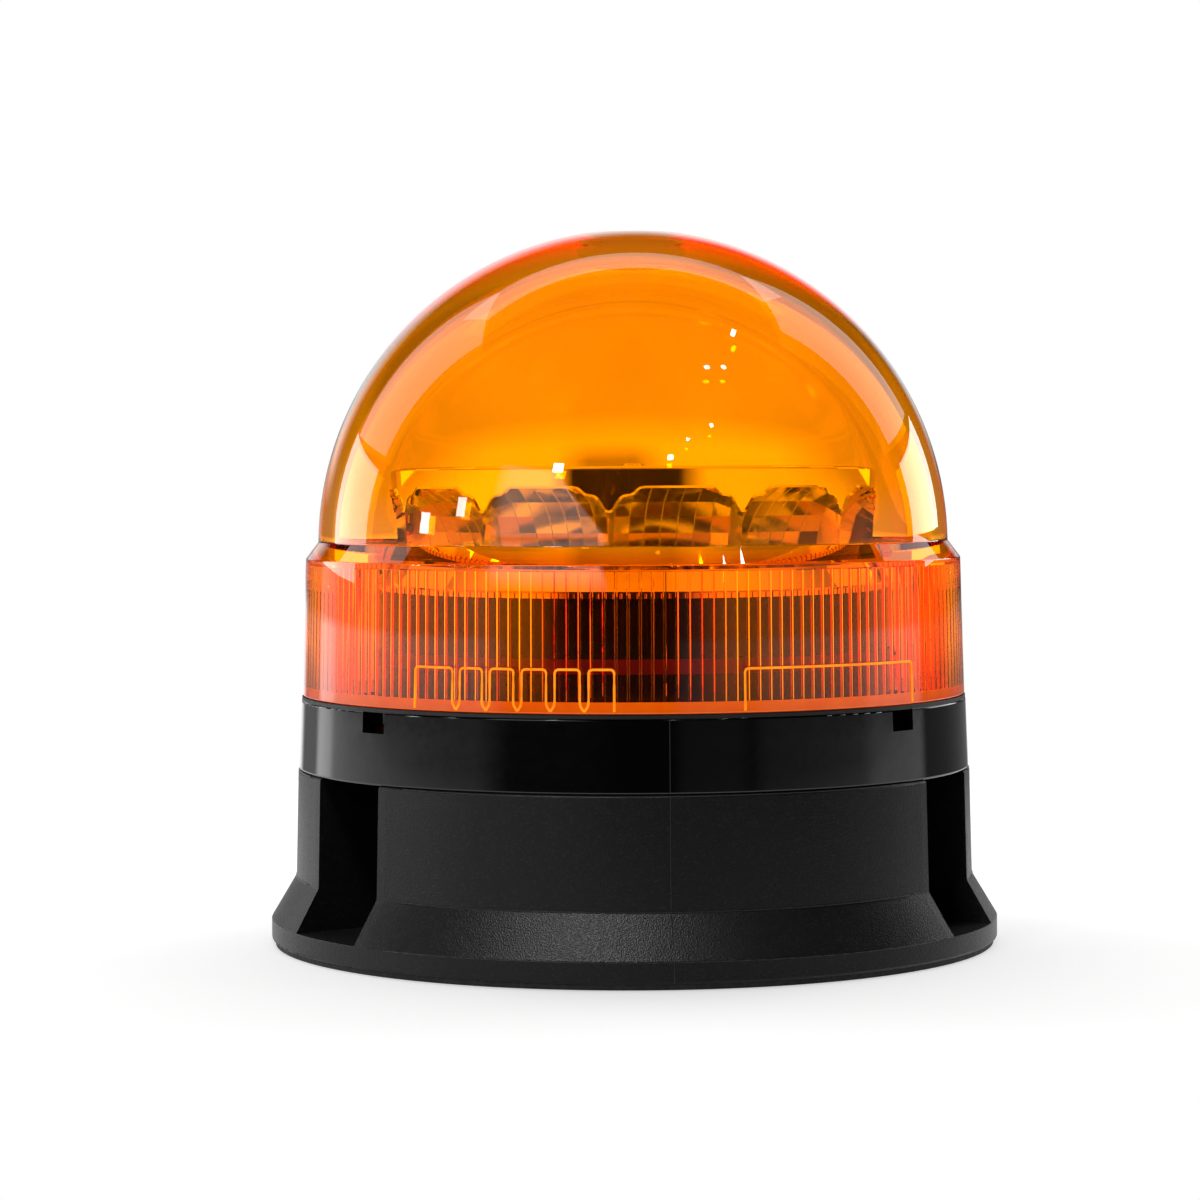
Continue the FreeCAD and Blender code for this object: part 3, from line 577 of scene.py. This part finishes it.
# Half of the arch on the drum wall: share of the sector's half width, and level
archOutline = [(0.0, 87.1), (0.25, 87.1), (0.47, 87.1), (0.535, 86.95), (0.575, 86.6), (0.615, 86.1),
               (0.66, 85.75), (0.72, 85.65), (0.78, 85.5), (0.825, 85.1), (0.865, 84.4), (0.90, 83.6),
               (0.94, 83.0), (0.97, 82.78), (1.0, 82.72)]
nicheColumns = [0.124, 0.372, 0.62, 0.868]
# Facet rows from the floor up: level at the middle, how far under the arch it stays, and share of the depth
nicheRows = [(70.0, 12.0, 1.0), (75.0, 7.6, 0.96), (79.0, 4.4, 0.86), (82.0, 2.2, 0.70), (84.6, 0.9, 0.47)]
# Floor edge, kerb, sloping flange and skirt: radius and level
flangeSection = [(46.35, 70.0), (46.45, 71.9), (46.75, 72.1), (49.4, 68.4), (49.5, 68.1), (49.5, 67.2),
                 (48.2, 67.2), (48.2, 68.8)]


def archLevel(share):
    share = abs(share)
    for (a, low), (b, high) in zip(archOutline, archOutline[1:]):
        if share <= b:
            return low + (high - low) * (share - a) / (b - a)
    return archOutline[-1][1]


sectorHalf = 180.0 / reflectorSize["count"]
nicheLines = [-1.0] + [-s for s in nicheColumns[::-1]] + nicheColumns + [1.0]
archShares = sorted({s * sign for s, z in archOutline for sign in (-1, 1)} | set(nicheLines))


def wallPoint(share, level, proud=0.0):
    size = reflectorSize
    slope = (size["rimRadius"] - size["footRadius"]) / (size["rimLevel"] - size["floorLevel"])
    radius = size["footRadius"] + slope * (level - size["floorLevel"]) + proud
    return onCircle(radius, sectorHalf * share, level)


def lipBack(i):
    # Point of the wall a lip's width away from the arch, square to its outline
    share, level = archShares[i], archLevel(archShares[i])
    perShare = math.radians(sectorHalf) * reflectorSize["footRadius"]
    along, rise = 1.0, 0.0
    if 0 < i < len(archShares) - 1:
        along = (archShares[i + 1] - archShares[i - 1]) * perShare
        rise = archLevel(archShares[i + 1]) - archLevel(archShares[i - 1])
    length = math.hypot(along, rise)
    width = reflectorSize["lipWidth"]
    return wallPoint(share - rise / length * width / perShare, level + along / length * width)


def nichePoint(row, share):
    middle, under, depthShare = row
    level = min(middle, archLevel(share) - under)
    depth = reflectorSize["nicheDepth"] * depthShare * math.sqrt(max(0.0, 1 - share * share))
    return wallPoint(share, level) + Vector((0, depth * mm, 0))


def bridge(bm, lower, upper):
    for i in range(len(lower) - 1):
        bm.faces.new((lower[i], lower[i + 1], upper[i + 1], upper[i]))


def rimPath():
    # Radius and level over the rounded rim, down into the dish and in to the screw hole
    size = reflectorSize
    inner = size["rimRadius"] - size["rimWidth"]
    dish = size["rimLevel"] - size["dishDepth"]
    path = []
    for i in range(1, size["rimSteps"] + 1):
        angle = math.radians(90.0 / size["rimSteps"] * i)
        path.append((size["rimRadius"] - size["rimRound"] * (1 - math.cos(angle)),
                     size["rimLevel"] - size["rimRound"] * (1 - math.sin(angle))))
    return path + [(inner, size["rimLevel"]), (inner - size["dishDepth"], dish), (size["holeRadius"], dish)]


def reflectorSector():
    size = reflectorSize
    bm = bmesh.new()
    # arch with its proud lip, wall above it, then the rim and the dish
    shares = archShares
    rings = [[bm.verts.new(wallPoint(s, archLevel(s))) for s in shares],
             [bm.verts.new(wallPoint(s, archLevel(s), size["lipProud"])) for s in shares],
             [bm.verts.new(lipBack(i)) for i in range(len(shares))],
             [bm.verts.new(wallPoint(s, size["rimLevel"] - size["rimRound"])) for s in shares]]
    for radius, level in rimPath():
        rings.append([bm.verts.new(onCircle(radius, sectorHalf * s, level)) for s in shares])
    for lower, upper in zip(rings, rings[1:]):
        bridge(bm, lower, upper)

    # niche: flat facets between the columns and rows, from the floor up to the arch
    lines = nicheLines
    rows = [[bm.verts.new(nichePoint(row, s)) for s in lines] for row in nicheRows]
    for lower, upper in zip(rows, rows[1:]):
        bridge(bm, lower, upper)
    for i in range(len(lines) - 1):
        run = [v for v, s in zip(rings[0], shares) if lines[i] <= s <= lines[i + 1]]
        bm.faces.new([rows[-1][i], rows[-1][i + 1]] + run[::-1])

    # floor round the emitter, out to the flange edge and down to the cup
    skirt = [[bm.verts.new(onCircle(radius, sectorHalf * s, level)) for s in lines]
             for radius, level in flangeSection]
    opening = []
    ledCentre = onCircle(size["ledRadius"], 0.0, size["floorLevel"])
    for i in range(size["ledSteps"]):
        turn = 2 * math.pi * i / size["ledSteps"]
        spoke = Vector((math.cos(turn), math.sin(turn), 0)) * size["ledOpening"] * mm
        opening.append(bm.verts.new(ledCentre + spoke))
    boundary = [bm.edges.new(pair) for pair in zip(opening, opening[1:] + opening[:1])]
    base, flange = rows[0], skirt[0]
    boundary += [e for i in range(len(base) - 1) for e in base[i].link_edges if base[i + 1] in e.verts]
    boundary += [bm.edges.new((flange[i], flange[i + 1])) for i in range(len(flange) - 1)]
    boundary += [bm.edges.new((base[0], flange[0])), bm.edges.new((base[-1], flange[-1]))]
    bmesh.ops.triangle_fill(bm, use_beauty=True, edges=boundary)
    for upper, lower in zip(skirt, skirt[1:]):
        bridge(bm, lower, upper)
    return toMesh(bm, "reflector")


around = {"Count": reflectorSize["count"], "First bearing": math.radians(reflectorSize["firstBearing"])}
reflector = newObject("reflector", reflectorSector())
bakeTree(reflector, ringTree("reflectorSectors", finishes["bright_metallised"], True), around)
smoothUnder(reflector, reflectorSize["sharpFrom"])
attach(reflector, "housing")
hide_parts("reflector")

# Upright ridges between the facets
ridges = [[nichePoint(row, s) for row in nicheRows] + [wallPoint(s, archLevel(s))] for s in nicheLines[1:-1]]
seams = newObject("facetRidges", lineMesh("facetRidges", ridges))
bakeTree(seams, beadRingTree("facetRidgeSweep", finishes["bright_metallised"]),
         {**around, "Width": reflectorSize["seamWidth"] * mm})
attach(seams, "housing")
print("reflector:", len(reflector.data.polygons) + len(seams.data.polygons), "faces")


# Clear domes on the emitters
emitter = {"radius": 2.2, "lift": 0.03, "rings": 8, "steps": 24, "sharpFrom": 40}


def ledDome():
    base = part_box("led_lenses")[0][2] / mm + emitter["lift"]
    bm = bmesh.new()
    rings = []
    for i in range(emitter["rings"]):
        tilt = math.pi / 2 * i / emitter["rings"]
        radius, level = emitter["radius"] * math.cos(tilt), base + emitter["radius"] * math.sin(tilt)
        centre = onCircle(reflectorSize["ledRadius"], 0.0, level)
        rings.append([bm.verts.new(centre + onCircle(radius, 360.0 * k / emitter["steps"], 0.0))
                      for k in range(emitter["steps"])])
    top = bm.verts.new(onCircle(reflectorSize["ledRadius"], 0.0, base + emitter["radius"]))
    for lower, upper in zip(rings, rings[1:]):
        for i in range(len(lower)):
            bm.faces.new((lower[i - 1], lower[i], upper[i], upper[i - 1]))
    for i in range(len(rings[-1])):
        bm.faces.new((rings[-1][i - 1], rings[-1][i], top))
    bm.faces.new(rings[0][::-1])
    bmesh.ops.recalc_face_normals(bm, faces=bm.faces)
    return toMesh(bm, "ledDomes")


ledDomes = newObject("ledDomes", ledDome())
bakeTree(ledDomes, ringTree("ledDomeSet", finishes["led_clear"]), around)
smoothUnder(ledDomes, emitter["sharpFrom"])
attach(ledDomes, "housing")
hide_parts("led_lenses")
print("led domes:", len(ledDomes.data.polygons), "faces")


# Marking tabs: a bead of unpolished amber round each raised field on the lens foot, glowing with painted
# light
tabs = {"front": 2.3, "offset": 27.9, "fieldSpan": 34.8, "height": 7.8, "wideSpan": 7.5, "gap": 1.4,
        "narrowCount": 5, "beadWidth": 0.44, "corner": 0.6, "cornerBend": 0.3, "footGap": 0.4, "step": 1.2}
# How far a side leans out next to another tab, as a share of the gap, and how high over the foot
tabLean = [(0.48, 0.0), (0.34, 0.35), (0.1, 0.9), (0.0, 1.6), (0.0, 4.5)]


def tabOutlines():
    # Start and span of each tab, and whether its left and right side lean out to a neighbour at the foot
    left = tabs["front"] - tabs["offset"] - tabs["fieldSpan"] / 2
    right = tabs["front"] + tabs["offset"] - tabs["fieldSpan"] / 2
    pitch = (tabs["fieldSpan"] - tabs["wideSpan"]) / tabs["narrowCount"]
    spans = [(left, tabs["wideSpan"], 0, 1), (right, tabs["fieldSpan"], 0, 0)]
    for i in range(tabs["narrowCount"]):
        start = left + tabs["wideSpan"] + pitch * i + tabs["gap"]
        spans.append((start, pitch - tabs["gap"], 1, int(i < tabs["narrowCount"] - 1)))
    return spans


def tabPaths():
    slope = (lens["footRadius"] - lens["ringRadius"]) / (lens["ringLevel"] - lens["footLevel"])
    foot = lens["footLevel"] + tabs["footGap"]
    top = lens["footLevel"] + tabs["height"]
    corner = math.degrees(tabs["corner"] / lens["footRadius"])
    bend = tabs["cornerBend"]

    def side(leans):
        # One side from the foot up: how far out of the tab, and level
        lower = [(share * tabs["gap"] * leans, foot + rise) for share, rise in tabLean]
        return lower + [(0.0, top - tabs["corner"]), (-bend * corner, top - bend * tabs["corner"])]

    paths = []
    for start, span, leanLeft, leanRight in tabOutlines():
        steps = max(3, round(span / tabs["step"]))
        path = [(start - out, level) for out, level in side(leanLeft)]
        path += [(start + corner + (span - 2 * corner) * i / steps, top) for i in range(steps + 1)]
        path += [(start + span + out, level) for out, level in side(leanRight)[::-1]]
        paths.append([onCircle(lens["footRadius"] - slope * (level - lens["footLevel"]), bearing, level)
                      for bearing, level in path])
    return paths


tabBead = newObject("tabBeads", lineMesh("tabBeads", tabPaths()))
bakeTree(tabBead, beadTree("tabBeadSweep", paintedGlowBeadFinish), {"Width": tabs["beadWidth"] * mm})
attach(tabBead, "lens")
print("tab beads:", len(tabBead.data.polygons), "faces")


# Mould line down the front, and the turned edges of the base between the screw pockets, as beads that catch
# real light and whose paler black adds a painted highlight
mouldLine = {"bearing": 0.5, "width": 0.16, "collar": [(64.5, 33.8), (64.0, 46.7)],
             "base": [(70.0, 1.4), (70.0, 4.7), (69.6, 5.4), (65.6, 12.6), (65.2, 13.4), (64.7, 33.1)]}
baseEdges = {"width": 0.24, "reach": 45.0, "steps": 40, "count": 3,
             "edges": [(69.9, 4.9), (65.25, 13.05), (64.56, 33.34)]}


def arcPath(radius, level):
    shares = [2 * i / baseEdges["steps"] - 1 for i in range(baseEdges["steps"] + 1)]
    return [onCircle(radius, share * baseEdges["reach"], level) for share in shares]


for label, slot in (("collar", "gloss_black"), ("base", "matte_black")):
    path = [onCircle(radius, mouldLine["bearing"], level) for radius, level in mouldLine[label]]
    ridge = newObject(label + "MouldLine", lineMesh(label + "MouldLine", [path]))
    bakeTree(ridge, beadTree(label + "MouldLineSweep", ridgePaintedHighlightFinish), {"Width": mouldLine["width"] * mm})
    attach(ridge, "housing")
edgeBeads = newObject("baseEdges", lineMesh("baseEdges", [arcPath(*edge) for edge in baseEdges["edges"]]))
bakeTree(edgeBeads, beadRingTree("baseEdgeSweep", ridgePaintedHighlightFinish),
         {"Count": baseEdges["count"], "First bearing": 0.0, "Width": baseEdges["width"] * mm})
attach(edgeBeads, "housing")
print("mould line and base edges:", len(edgeBeads.data.polygons), "faces")


# Camera at the photograph's viewing angle
camera = {"azimuth": -5.2, "distance": 655.65, "height": 89.12, "pitch": 2.067, "yaw": 0.557, "roll": -0.247,
          "focal": 101.69, "sensor": 36.0, "clip": (0.01, 50.0)}


def addCamera():
    azimuth = math.radians(camera["azimuth"])
    look = azimuth + math.radians(camera["yaw"])
    pitch = math.radians(camera["pitch"])
    roll = math.radians(camera["roll"])
    forward = Vector((-math.sin(look), math.cos(look), 0))
    side = Vector((math.cos(look), math.sin(look), 0))
    axis = math.cos(pitch) * forward - math.sin(pitch) * Vector((0, 0, 1))
    top = math.sin(pitch) * forward + math.cos(pitch) * Vector((0, 0, 1))
    right = math.cos(roll) * side + math.sin(roll) * top
    upward = -math.sin(roll) * side + math.cos(roll) * top
    data = bpy.data.cameras.new("camera")
    data.lens = camera["focal"]
    data.sensor_width = camera["sensor"]
    data.clip_start, data.clip_end = camera["clip"]
    obj = newObject("camera", data)
    turn = Matrix((right, upward, -axis)).transposed().to_4x4()
    eye = onCircle(camera["distance"], camera["azimuth"], camera["height"])
    obj.matrix_world = Matrix.Translation(eye) @ turn
    scene.camera = obj


addCamera()


# Studio: a white floor and backdrop, soft boxes at the sides, dark on the camera's side
floorLook = {"colour": (0.8, 0.8, 0.8), "glow": 0.5, "centre": 0.09, "radius": 0.27, "level": -0.0001,
             "steps": 96}


def addFloor():
    bm = bmesh.new()
    bmesh.ops.create_circle(bm, cap_ends=True, segments=floorLook["steps"], radius=floorLook["radius"],
                            matrix=Matrix.Translation((0, floorLook["centre"], floorLook["level"])))
    floor = newObject("floor", toMesh(bm, "floor"))
    material = bpy.data.materials.new("studioFloor")
    material.use_nodes = True
    tree = material.node_tree
    tree.nodes.clear()
    rays = addNode(tree, "ShaderNodeLightPath").outputs
    seen = mathNode(tree, "MAXIMUM", rays["Is Camera Ray"],
                    mathNode(tree, "MAXIMUM", rays["Is Glossy Ray"], rays["Is Transmission Ray"]))
    lit = addNode(tree, "ShaderNodeBsdfDiffuse", {"Color": (*floorLook["colour"], 1)}).outputs[0]
    strength = product(tree, seen, floorLook["glow"])
    glow = addNode(tree, "ShaderNodeEmission", {"Color": (1, 1, 1, 1), "Strength": strength}).outputs[0]
    both = addNode(tree, "ShaderNodeAddShader", {0: lit, 1: glow}).outputs[0]
    # clear from below, so that the underside can be looked at
    under = addNode(tree, "ShaderNodeNewGeometry").outputs["Backfacing"]
    clear = addNode(tree, "ShaderNodeBsdfTransparent").outputs[0]
    oneSided = addNode(tree, "ShaderNodeMixShader", {0: under, 1: both, 2: clear}).outputs[0]
    addNode(tree, "ShaderNodeOutputMaterial", {"Surface": oneSided})
    floor.data.materials.append(material)


# Surroundings. Places are heights (the sine of the elevation) or shares of a turn from the front by the left;
# a pair says where a change starts and ends. "round" lists shares of the turn with their brightness.
curveTop = 4.0
fillLight = {"front": 0.03, "behind": 0.95, "between": (-0.6, 0.5)}
# What the glass shows: bright sides and backdrop, dimmer above, brighter below, dark towards the camera
seenThrough = {
    "round": [(0.0, 0.02), (0.09, 0.02), (0.12, 1.1), (0.412, 1.1), (0.422, 0.65), (0.454, 0.65),
              (0.469, 1.05), (0.535, 1.05), (0.55, 0.75), (0.606, 0.65), (0.616, 0.85), (0.92, 0.85),
              (0.955, 0.02)],
    "above": 0.6, "aboveFrom": (0.26, 0.34), "below": 2.2, "belowFrom": (-0.05, -0.01),
    "ceiling": 1.2, "ceilingFrom": (0.6, 0.8),
}
brightSpot = {"turn": 0.5144, "level": 0.8, "reach": (0.011, 0.018), "top": (0.04, 0.065)}
darkPatch = {"turn": 0.513, "depth": 0.6, "reach": (0.0016, 0.004), "low": (0.0, 0.005),
             "high": (0.032, 0.045)}
# What gloss shows: grey walls low down, and the backdrop higher up
seenInGloss = {
    "round": [(0.0, 0.02), (0.133, 0.05), (0.165, 0.7), (0.30, 0.95), (0.33, 0.95), (0.357, 1.0),
              (0.366, 1.9), (0.392, 1.9), (0.402, 0.4), (0.45, 0.2), (0.47, 1.2), (0.53, 1.2), (0.55, 0.2),
              (0.645, 0.1), (0.688, 0.1), (0.697, 0.7), (0.765, 0.9), (0.785, 0.5), (0.828, 0.45),
              (0.889, 0.35), (0.903, 0.1), (0.917, 0.22), (0.967, 0.2), (0.978, 0.02)],
    "middle": 0.35, "middleFrom": (-0.034, -0.024), "above": 0.03, "aboveFrom": (0.05, 0.2),
    "backdrop": 1.0, "backdropFrom": (0.88, 0.95), "backdropLow": (0.03, 0.1),
}
# Pale card to the front left, in gloss alone: angles from the front and heights in degrees
paleCard = {"right": 10.8, "slant": 0.85, "left": 58.0, "low": 2.5, "high": 27.0, "soft": 1.5,
            "leftSoft": 6.0, "level": 1.6}


def addWorld():
    world = bpy.data.worlds.new("studio")
    scene.world = world
    world.use_nodes = True
    tree = world.node_tree
    tree.nodes.clear()
    axes = splitAxes(tree, addNode(tree, "ShaderNodeTexCoord").outputs["Generated"])
    height = axes[2]
    bearing = mathNode(tree, "DIVIDE", mathNode(tree, "ARCTAN2", axes[0], axes[1]), 2 * math.pi)
    turn = mathNode(tree, "ADD", bearing, 0.5)

    def choose(factor, first, second):
        return addNode(tree, "ShaderNodeMix", {"Factor": factor, 2: first, 3: second}).outputs[0]

    def change(value, start, end, ends):
        return spread(tree, value, start, end, *ends)

    def awayFrom(share):
        return mathNode(tree, "ABSOLUTE", mathNode(tree, "SUBTRACT", turn, share))

    def roundCurve(stops):
        node = addNode(tree, "ShaderNodeFloatCurve", {"Value": turn})
        node.mapping.clip_max_y = curveTop
        curve = node.mapping.curves[0]
        curve.points[0].location, curve.points[1].location = stops[0], (1.0, stops[0][1])
        for share, level in stops[1:]:
            curve.points.new(share, level)
        for point in curve.points:
            point.handle_type = "VECTOR"
        node.mapping.update()
        return node.outputs[0]

    def throughGlass():
        look, spot, patch = seenThrough, brightSpot, darkPatch
        walls = product(tree, roundCurve(look["round"]),
                        product(tree, change(height, 1.0, look["above"], look["aboveFrom"]),
                                change(height, look["below"], 1.0, look["belowFrom"])))
        glare = product(tree, change(awayFrom(spot["turn"]), spot["level"], 0.0, spot["reach"]),
                        change(height, 1.0, 0.0, spot["top"]))
        ceiling = change(height, 0.0, look["ceiling"], look["ceilingFrom"])
        level = mathNode(tree, "ADD", mathNode(tree, "ADD", walls, glare), ceiling)
        # a soft dark patch just over the reflector's rim
        upright = product(tree, change(height, 0.0, 1.0, patch["low"]),
                          change(height, 1.0, 0.0, patch["high"]))
        shade = product(tree, change(awayFrom(patch["turn"]), patch["depth"], 0.0, patch["reach"]), upright)
        return product(tree, level, mathNode(tree, "SUBTRACT", 1.0, shade))

    def inGloss():
        look, card = seenInGloss, paleCard
        fade = product(tree, change(height, 1.0, look["middle"], look["middleFrom"]),
                       change(height, 1.0, look["above"], look["aboveFrom"]))
        low = product(tree, roundCurve(look["round"]), fade)
        rise = mathNode(tree, "DEGREES", mathNode(tree, "ARCSINE", height))
        aside = product(tree, turn, 360.0)
        slanted = mathNode(tree, "SUBTRACT", aside, product(tree, rise, card["slant"]))
        pale = card["level"]
        edges = [(slanted, card["right"], card["soft"]), (aside, card["left"], -card["leftSoft"]),
                 (rise, card["low"], card["soft"]), (rise, card["high"], -card["soft"])]
        for value, edge, width in edges:
            pale = product(tree, change(value, 0.0, 1.0, (edge, edge + width)), pale)
        backdrop = product(tree, change(axes[1], 0.0, look["backdrop"], look["backdropFrom"]),
                           change(height, 0.0, 1.0, look["backdropLow"]))
        return mathNode(tree, "MAXIMUM", mathNode(tree, "ADD", low, pale), backdrop)

    rays = addNode(tree, "ShaderNodeLightPath").outputs
    fill = change(axes[1], fillLight["front"], fillLight["behind"], fillLight["between"])
    level = choose(rays["Is Glossy Ray"], fill, inGloss())
    level = choose(rays["Is Transmission Ray"], level, throughGlass())
    level = choose(rays["Is Camera Ray"], level, 1.0)
    light = addNode(tree, "ShaderNodeBackground", {"Color": (1, 1, 1, 1), "Strength": level}).outputs[0]
    addNode(tree, "ShaderNodeOutputWorld", {"Surface": light})


# Lamps: bearing from straight behind, positive to the right, elevation, width, height, radiance and lean
lampPlace = {"aim": 0.09, "distance": 1.0}
softBoxes = {
    "leftStripLow": (-53, 7.4, 0.46, 0.27, 2.6),
    "leftStrip": (-52, 34, 0.46, 0.62, 1.1, 8),
    "rightStripLow": (54, 7, 0.46, 0.24, 3.0),
    "rightStrip": (54, 34, 0.46, 0.62, 1.1, -8),
    "archBox": (0, 57, 1.1, 0.22, 1.0),
}
# for the base alone: one on the flare's front, two along its left side
baseLamps = {
    "flareLamp": (-152, 54, 0.28, 0.16, 62.0),
    "sideLamp": (-94, 4, 0.5, 0.3, 2.0),
    "rimLamp": (-53, 6, 0.46, 0.24, 0.9),
}
# windows and small lamps that glint in the dome
glints = {
    "windowLow": (-97, 5.5, 0.07, 0.1, 16.0),
    "windowHigh": (-112, 11, 0.06, 0.1, 14.0),
    "glint1": (-147, 26, 0.06, 0.05, 60.0),
    "glint2": (170.6, 30, 0.032, 0.03, 60.0),
    "glint3": (162.6, 36, 0.016, 0.016, 45.0),
    "glint4": (151, 40, 0.018, 0.018, 45.0),
    "glint5": (136.6, 60.4, 0.03, 0.024, 24.0),
    "glint6": (127, 58.5, 0.024, 0.024, 28.0),
    "glint7": (93, 64, 0.06, 0.02, 30.0),
}
bounces = {"max_bounces": 24, "transmission_bounces": 20, "glossy_bounces": 12}


def addLamp(name, bearing, elevation, width, height, radiance, lean=0.0):
    # Every lamp faces the lens
    turn, rise = math.radians(bearing), math.radians(elevation)
    aim = Vector((0, 0, lampPlace["aim"]))
    away = Vector((math.sin(turn) * math.cos(rise), math.cos(turn) * math.cos(rise), math.sin(rise)))
    data = bpy.data.lights.new(name, "AREA")
    data.shape = "RECTANGLE"
    data.size = width
    data.size_y = height
    data.energy = radiance * math.pi * width * height
    obj = newObject(name, data)
    facing = (-away).to_track_quat("-Z", "Y").to_matrix().to_4x4()
    spin = Matrix.Rotation(math.radians(lean), 4, "Z")
    obj.matrix_world = Matrix.Translation(aim + away * lampPlace["distance"]) @ facing @ spin
    obj.visible_camera = False
    return obj


addFloor()
addWorld()
onlyBase = bpy.data.collections.new("baseLampReceivers")
onlyBase.objects.link(frame["nodes"]["base_housing"])
for name, row in softBoxes.items():
    addLamp(name, *row)
for name, row in baseLamps.items():
    addLamp(name, *row).light_linking.receiver_collection = onlyBase
for name, row in glints.items():
    addLamp(name, *row)
for setting, count in bounces.items():
    setattr(scene.cycles, setting, count)
print("studio set")
